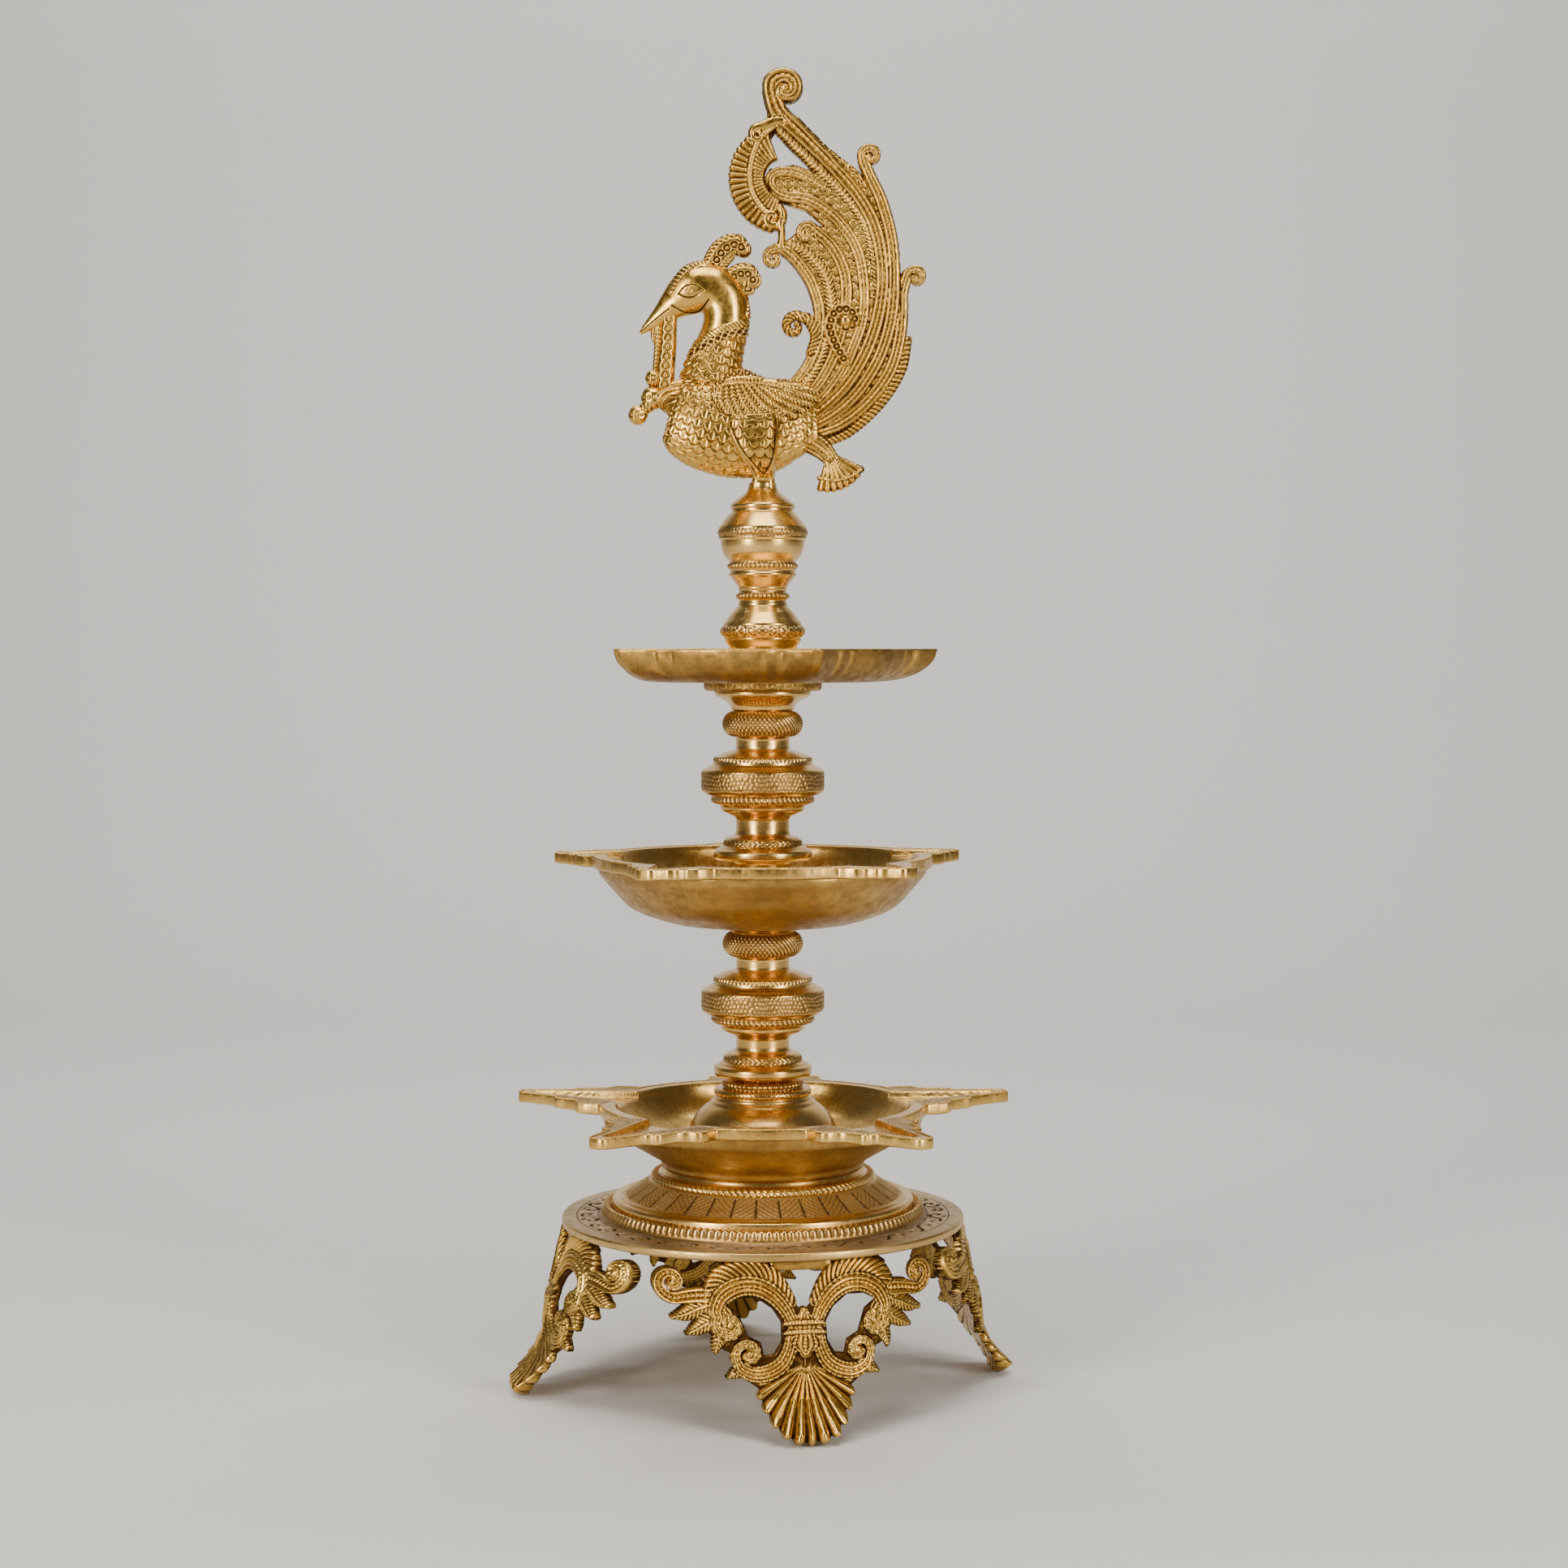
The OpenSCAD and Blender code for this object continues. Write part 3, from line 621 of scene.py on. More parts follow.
def sweep(route, relief, columns=64, pitch=0.8, squareness=1.0):
    """A closed body swept along a route in the X-Z plane through (x, z, half height, half width) points.
    'relief' gives (outward mm, cavity) for x, z, the angle round the body and the length along it."""
    line, along = spline(route, pitch / FINE)
    tu, tv = tangents(line[:, :2]).T[:, :, None]
    angle = round_angles(columns)
    ring_up, ring_out = (np.sign(side) * np.abs(side) ** squareness
                         for side in (np.cos(angle), np.sin(angle)))
    centre_x, centre_z, half_height, half_width = line.T[:, :, None]
    up = half_height * ring_up
    x, z = centre_x - tv * up, centre_z + tu * up
    grid = np.stack([x, half_width * ring_out, z], axis=-1)
    slope_row = np.gradient(grid, axis=0)
    slope_column = np.roll(grid, -1, axis=1) - np.roll(grid, 1, axis=1)
    normal = np.cross(slope_row, slope_column)
    normal /= np.linalg.norm(normal, axis=2, keepdims=True) + 1e-9
    outward_way = np.stack([-tv * ring_up, ring_out + 0 * x, tu * ring_up], axis=-1)
    normal *= np.sign((normal * outward_way).sum(axis=2, keepdims=True) + 1e-9)
    lift, cavity = relief(x, z, np.broadcast_to(angle, x.shape), np.broadcast_to(along[:, None], x.shape))
    return skin(grid + normal * lift[..., None], cavity)


# ---------------------------------------------------------------- column sections

def baluster(drop):
    """Outline shared by the two stems, about the middle of the belt; the flange hangs 'drop' below it."""
    return ([(22, -drop), (22.8, 0.8 - drop), (22.8, 3.8 - drop), (22, 4.6 - drop), (20.4, 5.2 - drop),
             (20.0, 5.9 - drop), (18.7, 6.2 - drop)] + arc(17, 7.8 - drop, 1.5, -40, 60)
            + [(16.6, 10.4 - drop), (13.4, 11.2 - drop), (12.6, 12.2 - drop), (12.4, 13 - drop),
               (12.4, -17.6), (13.0, -16.6), (15.6, -15.4), (18.6, -14), (19.5, -13.4), (19.5, -11.6),
               (20.4, -11.2), (21.5, -10.8)] + arc(22.6, -8.6, 1.6, -50, 60)
            + [(23.6, -6.9), (25, -6.6), (26.6, -6.2)] + arc(26.8, -3.2, 2, -50, 0)
            + arc(27.2, 3.4, 1.6, 0, 60)
            + [(27.6, 5.3), (25.6, 6.2), (24.2, 7.2), (23.0, 7.6), (23.0, 10.6), (22.6, 11.0), (20.8, 11.8),
               (18.4, 12.8), (15.6, 13.8), (12.9, 14.4), (12.4, 15.2), (12.4, 19.6)]
            + arc(12.6, 26.4, 6.2, -86, 86, 16))


def baluster_bands(middle, drop):
    """The milled bands of a stem."""
    return [(middle + 5.0 - drop + 1.6, middle + 9.2 - drop, herringbone, 44, 0.55),
            (middle - 10.4, middle - 7.2, rope, 58, 0.55),
            (middle - 4.9, middle + 4.9, punched, 86, 0.6),
            (middle + 8.6, middle + 10.9, ticks, 66, 0.7),
            (middle + 20.4, middle + 32.4, crosshatch, 52, 0.6)]


def raised(outline, z):
    """The outline moved up by z."""
    return [(r, h + z) for r, h in outline]


STEM_BELT = 34.85      # from the lower stem's foot up to the middle of its belt
UPPER_BELT = 62.85     # the same on the upper stem, which has a plain shank below its flange
UPPER_SHANK = 26.4


def make_section(node, body, outline, bands, columns, pitch):
    """A column section with stud holes in its ends. The outline and the bands start from its foot."""
    foot, top = low(node), high(node)
    bands = [(foot + bottom, foot + end, *mark) for bottom, end, *mark in bands]
    body_skin = turned(bored(raised(outline, foot), foot, top), bands, columns, pitch, hidden=3)
    make_piece(node + "_turned", [body_skin], [TURNED], body, "turned_brass", node)


def make_lower_stem():
    top = high("lower_stem") - low("lower_stem")
    outline = raised(baluster(STEM_BELT), STEM_BELT) + [(14.8, top - 1.8), (15.8, top - 1.4), (15.8, top)]
    make_section("lower_stem", "lower_stem", outline, baluster_bands(STEM_BELT, STEM_BELT), 450, 0.46)


def make_upper_stem():
    top = high("upper_stem") - low("upper_stem")
    drop = UPPER_BELT - UPPER_SHANK
    outline = ([(15.2, 0), (15.2, 2), (13.2, 4), (13.2, UPPER_SHANK - 1)]
               + raised(baluster(drop), UPPER_BELT)
               + [(14.6, top - 8.9), (14.7, top - 7.5), (15.2, top - 6.5), (16.5, top - 5.3),
                  (18.6, top - 4), (20.7, top - 3), (22.4, top - 2), (22.4, top)])
    make_section("upper_stem", "upper_stem", outline, baluster_bands(UPPER_BELT, drop), 432, 0.56)


def make_capital():
    outline = ([(15, 0), (15, 11), (15.8, 13.6), (17.2, 15.6), (17.9, 17.0), (17.5, 17.5)]
               + arc(17.3, 20.6, 2.5, -60, 60)
               + [(18.0, 23.2), (18.2, 23.9), (17.1, 25.4), (15.8, 27), (14.4, 29), (12.6, 31),
                  (11.2, 32.6), (11.5, 33.2), (10.9, 34.0), (10.9, 35)] + arc(11.0, 36.7, 1.5, -70, 70)
               + [(10.9, 38.4), (10.9, 39.4), (11.4, 40.0), (11.2, 41), (11.6, 41.3), (13.2, 43.6),
                  (14.8, 45.6), (15.8, 46.2), (15.7, 47.2), (15.0, 47.8), (15.2, 48.8)]
               + arc(15, 50.6, 1.5, -60, 60)
               + [(15.0, 52.4), (15.6, 52.8), (16.8, 54.2), (18.2, 56.2), (19.2, 59.4), (19.6, 62.2),
                  (19.4, 62.7), (20.6, 63.0)] + arc(19.3, 65.9, 1.9, -60, 50)
               + [(20.3, 67.9), (20.4, 68.3), (18.0, 71.4), (15, 75.0), (14.2, 75.6),
                  (14.2, high("capital") - low("capital"))])
    bands = [(18.0, 23.0, diamonds, 26, 0.45), (35.2, 38.2, beads, 34, 0.6), (49.0, 52.2, beads, 44, 0.6),
             (63.2, 67.8, punched, 66, 0.5)]
    make_section("capital", "capital", outline, bands, 400, 0.46)


def make_hub():
    outline = ([(35, 0)] + arc(14.6, 3.6, 20.6, 0, 60, 16)
               + [(24.2, 22.6), (22.9, 23.4), (22.6, 24.6)]
               + arc(20.9, 27, 1.9, -70, 70)
               + [(19.0, 28.9), (18.2, 29.0)]
               + arc(17.6, 30.6, 1.6, -60, 70)
               + [(15, 32.6), (14.4, 33.2), (14.4, high("bottom_hub") - low("bottom_hub"))])
    bands = [(29.0, 32.2, beads, 46, 0.7), (25.3, 28.6, herringbone, 60, 0.12)]
    make_section("bottom_hub", "bottom_dish", outline, bands, 360, 0.5)


def make_finial_foot():
    foot, top = low("finial_foot"), high("finial_foot")
    hole, deep, centre = 4.05, 6, 0.4
    outline = [(centre, deep), (hole, deep), (hole, 0), (14.6, 0), (15, 0.3), (15, 1.2), (14.6, 2.1),
               (13.1, 3.5), (11.8, 4.6), (10, 5.9), (8.3, 7.2), (7.1, 8.6), (6.5, 10.2), (6.3, top - foot),
               (centre, top - foot)]
    bell = turned(raised(outline, foot), columns=256, pitch=0.4)
    make_piece("finial_foot_turned", [bell], [TURNED], "finial", "turned_brass", "finial_foot")


def make_stud(node):
    """A stud with its right-hand thread."""
    radius, foot, top, pitch = reach(node), low(node), high(node), 2.0
    rows = int((top - foot) / 0.2 * FINE)
    z, angle = np.meshgrid(np.linspace(foot, top, rows), round_angles(64), indexing="ij")
    wave = np.abs(np.mod(z / pitch - angle / TAU, 1.0) - 0.5) * 2
    end = np.minimum(z - foot, top - z)
    r = radius - 0.95 * step_up(wave, 0.15, 0.9) - 0.9 * (1 - step_up(end, 0, 1.2))
    # The thread's roots get low cavity values: painted shade in the grooves.
    thread = skin(around(angle, r, z), 1 - 0.75 * wave, 0.6, 0.6)
    make_piece(node + "_threaded", [thread], [STUD], node, "stud_brass", node)


make_lower_stem()
make_upper_stem()
make_capital()
make_finial_foot()
make_hub()
for stud in ("lower_stud", "upper_stud", "capital_stud", "finial_stud"):
    make_stud(stud)


# ---------------------------------------------------------------- closed rings

def torus(grid, cavity, mats=0):
    """A skin from a grid [row, column] that closes both ways. 'mats' gives a material index for each row."""
    count, columns = grid.shape[:2]
    index = np.arange(count * columns).reshape(count, columns)
    below, turn = np.roll(index, -1, axis=0), np.roll(index, -1, axis=1)
    quads = np.stack([index, turn, np.roll(below, -1, axis=1), below], axis=-1).reshape(-1, 4)
    per_quad = np.repeat(np.broadcast_to(mats, count), columns)
    return grid.reshape(-1, 3), quads, NO_TRIS, cavity.reshape(-1), per_quad


def closed_curve(points, pitch):
    """A closed outline resampled to an even pitch, its corners eased."""
    line, _ = evenly(np.vstack([points, points[:1]]), lambda length: int(length / pitch), endpoint=False)
    return 0.5 * line + 0.25 * (np.roll(line, 1, axis=0) + np.roll(line, -1, axis=0))


def outward(line):
    """Unit normals of a closed outline that runs anticlockwise."""
    tangent = np.roll(line, -1, axis=0) - np.roll(line, 1, axis=0)
    tangent /= np.hypot(*tangent.T)[:, None] + 1e-9
    return np.stack([tangent[:, 1], -tangent[:, 0]], axis=-1)


class DishSkin:
    """Rows of a dish's skin, from its middle over the rim to the underside, about the outline of its rim."""

    def __init__(self, rim_line):
        self.line, self.normal = rim_line, outward(rim_line)
        self.theta = np.arctan2(rim_line[:, 1], rim_line[:, 0])
        self.rows, self.cavity, self.mats = [], [], []

    def add(self, row, shade_and_dirt, mat):
        self.rows.append(row)
        self.cavity.append(np.broadcast_to(shade_and_dirt, len(row)))
        self.mats.append(mat)

    def ring(self, r, z, shade_and_dirt, mat):
        """A row at a radius from the axis."""
        self.add(around(self.theta, r, z), shade_and_dirt, mat)

    def rim(self, inset, z, shade_and_dirt, mat):
        """A row that follows the rim, moved inwards by 'inset'."""
        flat = self.line - self.normal * np.reshape(inset, (-1, 1))
        self.add(np.column_stack([flat, np.broadcast_to(z, len(flat))]), shade_and_dirt, mat)

    def blend(self, r, inset, share, z):
        """A level row between a ring of radius r (share 0) and the rim moved inwards (share 1)."""
        ring = around(self.theta, r, 0)[:, :2]
        flat = ring * (1 - share) + (self.line - self.normal * inset) * share
        return np.column_stack([flat, np.full(len(flat), z)])

    def skin(self):
        return torus(np.array(self.rows), np.array(self.cavity), self.mats)


# ---------------------------------------------------------------- dishes

SPOUTS = 5
SPOUT_STEP = 360 / SPOUTS
INNER, OUTER = 0, 1    # a dish's two materials
ANGLES = {"bottom_dish": 18, "middle_dish": 23, "top_dish": 0}   # first spout of each dish


def star(half, valley, first):
    """Outline of a dish. 'half': a spout's flank from its tip inwards, 'valley': the radius between spouts."""
    root = math.degrees(math.atan2(half[-1][1], half[-1][0]))
    points = []
    for k in range(SPOUTS):
        middle = first + k * SPOUT_STEP
        a = math.radians(middle)
        for r, w in [(r, -w) for r, w in reversed(half)] + list(half):
            points.append((r * math.cos(a) - w * math.sin(a), r * math.sin(a) + w * math.cos(a)))
        for i in range(1, 6):
            b = math.radians(middle + root + (SPOUT_STEP - 2 * root) * i / 6)
            points.append((valley * math.cos(b), valley * math.sin(b)))
    return np.array(points)


def spout_frame(x, y, first):
    """Distance along and across the nearest spout's middle line."""
    turn = np.degrees(np.arctan2(y, x)) - first
    local = np.radians(turn - SPOUT_STEP * np.round(turn / SPOUT_STEP))
    r = np.hypot(x, y)
    return r * np.cos(local), r * np.sin(local)


def bead_row(outline, z, radius, pitch):
    """A row of milled beads along a closed outline."""
    per_bead, sides, waist = 5 * FINE, 6, 0.45
    line = closed_curve(outline, pitch / per_bead)
    normal = outward(line)
    bulge = np.abs(np.sin(math.pi * np.arange(len(line)) / per_bead))
    swell = radius * (waist + (1 - waist) * bulge)
    rows = [np.column_stack([line + normal * (swell * math.cos(a))[:, None], z + swell * math.sin(a)])
            for a in np.arange(sides) * TAU / sides]
    # Cavity: darker in the waists between the beads, lighter on their crowns: painted shade.
    return torus(np.array(rows), np.tile(0.15 + 0.8 * bulge, sides))


def flanged_dish(node, half, valley, inside, outside, channel, hatch):
    """A turned bowl with a flat five-spouted flange. 'inside' and 'outside' are profiles from the axis
    outwards. 'channel' is a wick channel's inner radius and half width, its outer ones and its depth."""
    first, foot, rim = ANGLES[node], low(node), high(node)
    pitch, flange, bead_pitch = 0.7 / FINE, 5.2, 1.25
    cast = DishSkin(closed_curve(star(half, valley, first), pitch))
    along_edge = np.arange(len(cast.line)) * pitch
    r_in, w_in, r_out, w_out, deep = channel

    def carved(row):
        """A row on top, with the channels and the chased hatching cut into it; its value gives the hatching
        and the channel floors painted shade and is lighter along the channels' edges.
        """
        x, y, z = row.T
        along, across = spout_frame(x, y, first)
        half_width = np.interp(along, [r_in, r_out], [w_in, w_out])
        beside = np.abs(across) - half_width
        dip = deep * step_up(-beside, 0, 0.9) * step_up(r_out - along, 0, 1.5) * (along > r_in - 3)
        flat = step_up(beside, 0.4, 1.6) * step_up(along, r_in + 3.2, r_in + 4.5)
        one, two = (np.abs(np.sin(math.pi * lean))
                    for lean in ((x * 0.8 + y * 0.6) / 1.9, (x * 0.5 - y * 0.87) / 2.3))
        cut = hatch * flat * (1 - one * two) * (0.4 + 0.6 * unit_noise(21, x * 0.3, y * 0.3))
        edge = groove(beside, 0, 0.5) * (along > r_in) * (along < r_out)
        # Painted shade in the hatching and the channel floors, lighter along the channel edges.
        shade_and_dirt = (0.72 - (0.2 * flat + 0.4 * cut / max(hatch, 0.01)) * (hatch > 0)
                + 0.2 * edge - 0.12 * step_up(dip, 0.5, deep))
        return np.column_stack([x, y, np.minimum(z, rim - dip) - cut]), shade_and_dirt

    for r, z in resample([(STUD_HOLE, foot + 1)] + inside, 2.2 / FINE):
        row, shade_and_dirt = carved(around(cast.theta, r, z))
        cast.add(row, np.minimum(shade_and_dirt, 0.78), INNER)
    bowl_edge = inside[-1][0]
    for share in np.linspace(0, 1, int(26 * FINE) + 1)[1:]:
        cast.add(*carved(cast.blend(bowl_edge, 0.6, share, rim)), INNER)
    facet = unit_noise(31, along_edge / 5.0)
    nick = 0.35 * unit_noise(33, along_edge / 11.0)
    # The flange's lower edge, its underside and the foot ring get lower cavity values, painted shade below the
    # flange and under the dish; hammer dents are drawn darker, their bumps lighter.
    for level in (0.25, 0.7, 1.6, 2.8, 4.0, 4.8):
        file_marks = unit_noise(35, along_edge / 1.7, level)
        bow = 0.3 * (facet - 0.5) + 0.12 * (file_marks - 0.5)
        inset = 0.15 + 0.22 * (abs(level - 2.6) / 2.6) ** 3
        low_part = level > 4
        cast.rim(inset - bow, rim - level + nick * low_part, 0.82 - 0.25 * low_part, INNER)
    wall_top = outside[-1][0]
    for share in np.linspace(1, 0, int(8 * FINE) + 1)[1:]:
        row = cast.blend(wall_top, 0.8, share, rim - flange)
        row[:, 2] += 0.25 * share * unit_noise(37, row[:, 0] * 0.3, row[:, 1] * 0.3)
        cast.add(row, 0.42, OUTER)
    for r, z in resample(outside[::-1], 1.3 / FINE):
        hammered = 0.35 * (unit_noise(41, cast.theta * 9, z / 3.5) - 0.5)
        lathe = 0.16 * (unit_noise(43, cast.theta * 2.2, z * 1.3) - 0.5)
        cast.ring(r + hammered + lathe, z, 0.55 + 0.5 * hammered, OUTER)
    cast.ring(STUD_HOLE, foot, 0.3, OUTER)
    bead_line = bead_row(cast.line - cast.normal * 0.85, rim - 0.12, 0.62, bead_pitch)
    make_piece(node + "_cast", [cast.skin(), bead_line], [DISH_IN, DISH_OUT], node, "dish_brass", node)


def make_bottom_dish():
    foot, rim = low("bottom_dish"), high("bottom_dish")
    half = [(122.6, 1.2), (122.2, 3.6), (121.0, 4.8), (112, 7.4), (104.5, 9.6), (100.4, 11), (99.2, 13.2),
            (99.2, 15.4), (97.5, 16.8), (93, 17.6), (88, 19.2), (85.8, 20.8), (84.6, 23.4), (84.2, 25.6),
            (82.5, 27.4), (78, 28), (71.5, 27.4)]
    inside = [(36, foot + 8), (50, foot + 9.6), (60, foot + 14), (66, foot + 20.5), (68.4, foot + 25.5),
              (69, rim - 0.2)]
    outside = [(42, foot), (47.4, foot + 0.1), (47.4, foot + 3.4), (48.6, foot + 4.2), (73.5, foot + 18.6),
               (74.5, rim - 5.4)]
    flanged_dish("bottom_dish", half, 76, inside, outside, (65, 15, 114.6, 2.2, 3), 0.35)


def make_middle_dish():
    foot, rim = low("middle_dish"), high("middle_dish")
    half = [(100.5, 1.2), (100.3, 3.4), (99.4, 4.8), (96, 6.8), (93, 8.4), (91.8, 10.2), (91.4, 12.2),
            (89.4, 13.6), (87, 14.6), (86, 16.6), (84.8, 18.8), (81, 21.0), (77, 22.4)]
    inside = [(26, foot + 4), (40, foot + 5.5), (49, foot + 7.7), (56, foot + 11.1), (62, foot + 15.9),
              (67, foot + 21.1), (71, foot + 26.5), (72.5, rim - 0.2)]
    outside = [(28, foot), (34, foot + 0.2), (41, foot + 1.1), (48, foot + 2.9), (56, foot + 5.7),
               (61.5, foot + 8.5), (65.4, foot + 11.9), (69, foot + 16.1), (72.6, foot + 20.5),
               (75.8, foot + 24.1), (76.4, rim - 5.4)]
    flanged_dish("middle_dish", half, 79, inside, outside, (68.5, 13, 93.5, 2.2, 3), 0.0)


def make_top_dish():
    """A pinched dish whose wall rises in a quarter round from a flat floor, creased at its five lips."""
    node = "top_dish"
    foot, rim = low(node), high(node)
    wall, floor_r, floor_z, under_r, under_z = 1.7, 52, foot + 7.1, 50, foot + 4.2
    pitch = 0.5 / FINE
    half = [(81, 0.8), (80.4, 2.4), (78.6, 4.4), (74, 9.4), (70, 14), (67, 18), (64.4, 22.6)]
    cast = DishSkin(closed_curve(star(half, 67.4, ANGLES[node]), pitch))
    theta = cast.theta
    edge_r = np.hypot(*cast.line.T)
    along, across = spout_frame(*cast.line.T, ANGLES[node])
    crease = sum(depth * groove(np.abs(across), place, width) * (along > 60)
                 for place, width, depth in ((13.5, 1.5, 1.0), (0, 1.6, 0.8), (20.5, 1.3, 0.5)))
    uneven = 0.35 * (unit_noise(51, np.arange(len(theta)) * pitch / 4.5) - 0.3)
    for r, z in resample([(STUD_HOLE, foot + 1), (STUD_HOLE, floor_z - 0.1), (20, floor_z - 0.1),
                          (floor_r, floor_z)], 3 / FINE):
        cast.ring(r, z, 0.6, INNER)

    def quarter_round(v, from_r, to_r, from_z, to_z):
        """Radius and height at a share v of the wall."""
        share = math.sin(v * math.pi / 2) ** 0.9
        return from_r + (to_r - from_r) * share, from_z + (to_z - from_z) * (1 - math.cos(v * math.pi / 2))

    steps = np.linspace(0, 1, int(22 * FINE))
    for v in steps[1:]:
        r, z = quarter_round(v, floor_r, edge_r - wall, floor_z, rim - 0.3)
        cast.ring(r + 0.5 * crease * v, z + uneven * v * 0.6, 0.72, INNER)
    for inset, drop, shade_and_dirt, mat in ((1.35, 0.05, 0.95, INNER), (0.7, 0.0, 1.0, INNER),
                                   (0.15, 0.25, 0.95, OUTER), (0.0, 0.9, 0.8, OUTER)):
        cast.rim(inset, rim - drop + np.minimum(uneven * 0.6, 0.0), shade_and_dirt, mat)
    for v in steps[::-1][1:]:
        r, z = quarter_round(v, under_r, edge_r, under_z, rim - 0.6)
        depth = 1.5 * crease * step_up(v, 0.25, 0.8)
        rough = 0.4 * (unit_noise(53, theta * 14, z / 2.8) - 0.5)
        # Underside: painted shade, lifted along the creases under the lips into a painted sheen.
        sheen_and_shade = 0.42 + 0.5 * crease * step_up(v, 0.3, 0.7) + 0.4 * rough
        cast.ring(r - depth + rough, z, sheen_and_shade, OUTER)
    ring_r, ring_w = 27.3, 1.0
    under = [(48, foot + 4.1), (27, foot + 4.3), (26.8, foot + 3.9), (ring_r, foot + 3.4),
             (ring_r, foot + 1), (ring_r - ring_w, foot), (STUD_HOLE, foot)]
    for r, z in resample(under, 0.9 / FINE):
        pits = 0.5 * (unit_noise(55, theta * 30, z * 1.4) - 0.5) * (25 < r < 28)
        cast.ring(r + pits, z, 0.5 + pits, OUTER)
    make_piece("top_dish_cast", [cast.skin()], [DISH_IN, DISH_OUT], node, "dish_brass", node)


# ---------------------------------------------------------------- base

def closed_turned(profile, hidden, columns, pitch, relief, mats):
    """A lathe-turned ring: the visible profile, then the coarse points of its hidden side. 'relief' gives
    (outward mm, cavity) for the angle, radius and height, and 'mats' a material index for each radius."""
    line = np.vstack([resample(profile, pitch / FINE), hidden])
    next_r, next_z = np.roll(line, -1, axis=0).T
    anticlockwise = (line[:, 0] * next_z - next_r * line[:, 1]).sum() > 0
    normal = outward(line) * (1 if anticlockwise else -1)
    theta, radius = np.meshgrid(round_angles(columns), line[:, 0])
    z = np.broadcast_to(line[:, 1][:, None], theta.shape)
    lift, cavity = relief(theta, radius, z)
    grid = around(theta, radius + normal[:, 0][:, None] * lift, z + normal[:, 1][:, None] * lift)
    return torus(grid, cavity, mats(line[:, 0]))


def make_base_plate():
    foot, edge, top = low("base_plate"), reach("base_plate"), 84.0
    bead_r, bead, motif_r, motifs, bead_count = 72.8, 1.7, 81.0, 20, 138
    deck = foot + 4
    profile = ([(edge - 0.9, foot), (edge - 0.3, foot + 0.3), (edge, foot + 0.9), (edge, deck - 0.9),
                (edge - 0.3, deck - 0.3), (edge - 0.9, deck), (76.4, deck), (75.6, deck + 0.4),
                (75, deck + 1.2), (75, top - 0.6), (74.5, top)] + arc(bead_r, top, bead, 0, 180, 12)
               + [(bead_r - bead, top)])
    hidden = [(60, top), (48, top), (48, foot + 4), (48, foot), (60, foot), (72, foot), (84, foot)]

    def relief(theta, r, z):
        """S scrolls and dots engraved round the deck, and the row of milled beads. The engraving, the notches
        between the beads and the corners beside the bead row are drawn darker, painted shade with dirt in the
        corners, and the bead crowns lighter.
        """
        pitch = TAU / motifs
        u = (np.mod(theta, pitch) - 0.5 * pitch) * motif_r
        v = r - motif_r
        canvas = Canvas(u, v)
        scroll = [(-9.5, 1.4), (-7.2, 3.2), (-3.6, 2.6), (-1.0, 0.2), (2.2, -2.6), (6.2, -3.0), (8.8, -0.8),
                  (7.6, 1.3), (5.6, 0.6)]
        left_curl = [(-10.2, 0.4), (-8.2, -1.3), (-6.3, 0.2)]
        right_curl = [(1.6, 1.6), (2.6, 3.1), (4.6, 3.7)]
        for points in (scroll, left_curl, right_curl):
            canvas.stroke(widths(points, 0.75), roll, 0, 1)
        canvas.boss(-2.4, -2.5, 0.75, 0, 1)
        canvas.boss(-4.6, -0.1, 0.6, 0, 1)
        on_deck = (z > deck - 0.2) & (z < deck + 0.35) & (r > 76) & (r < edge)
        cut = np.where(on_deck, canvas.height * (np.abs(v) < 5.2), 0)
        border = np.where(on_deck, groove(r, 86.6, 0.3) + groove(r, 76.8, 0.3), 0)
        cut = np.maximum(cut, 0.8 * border)
        on_bead = step_up(z, deck + 1.6, deck + 2.4) * (r > bead_r - bead + 0.2) * (r < 75.6)
        swell = np.abs(np.sin(0.5 * bead_count * theta)) ** 0.5
        notch = on_bead * (1 - swell)
        lift = -0.8 * cut - 0.95 * notch + 0.05 * (unit_noise(61, theta * 26, r * 0.3) - 0.5)
        # Corners beside the bead row: painted shade together with dirt.
        shade_and_dirt = (groove(r, 75.4, 0.8) + groove(r, 70.6, 0.6)) * (z > deck)
        return lift, 0.7 - 0.7 * cut - 0.6 * notch - 0.5 * shade_and_dirt + 0.2 * on_bead * swell

    def mats(r):
        """Plate brass on the deck, turned brass on the beads, stud brass on the outer edge."""
        return (r < 75.9) + 2 * (r > edge - 0.4)

    plate = closed_turned(profile, hidden, 1260, 0.45, relief, mats)
    make_piece("base_plate_engraved", [plate], [PLATE, TURNED, STUD], "base", "plate_brass", "base_plate")


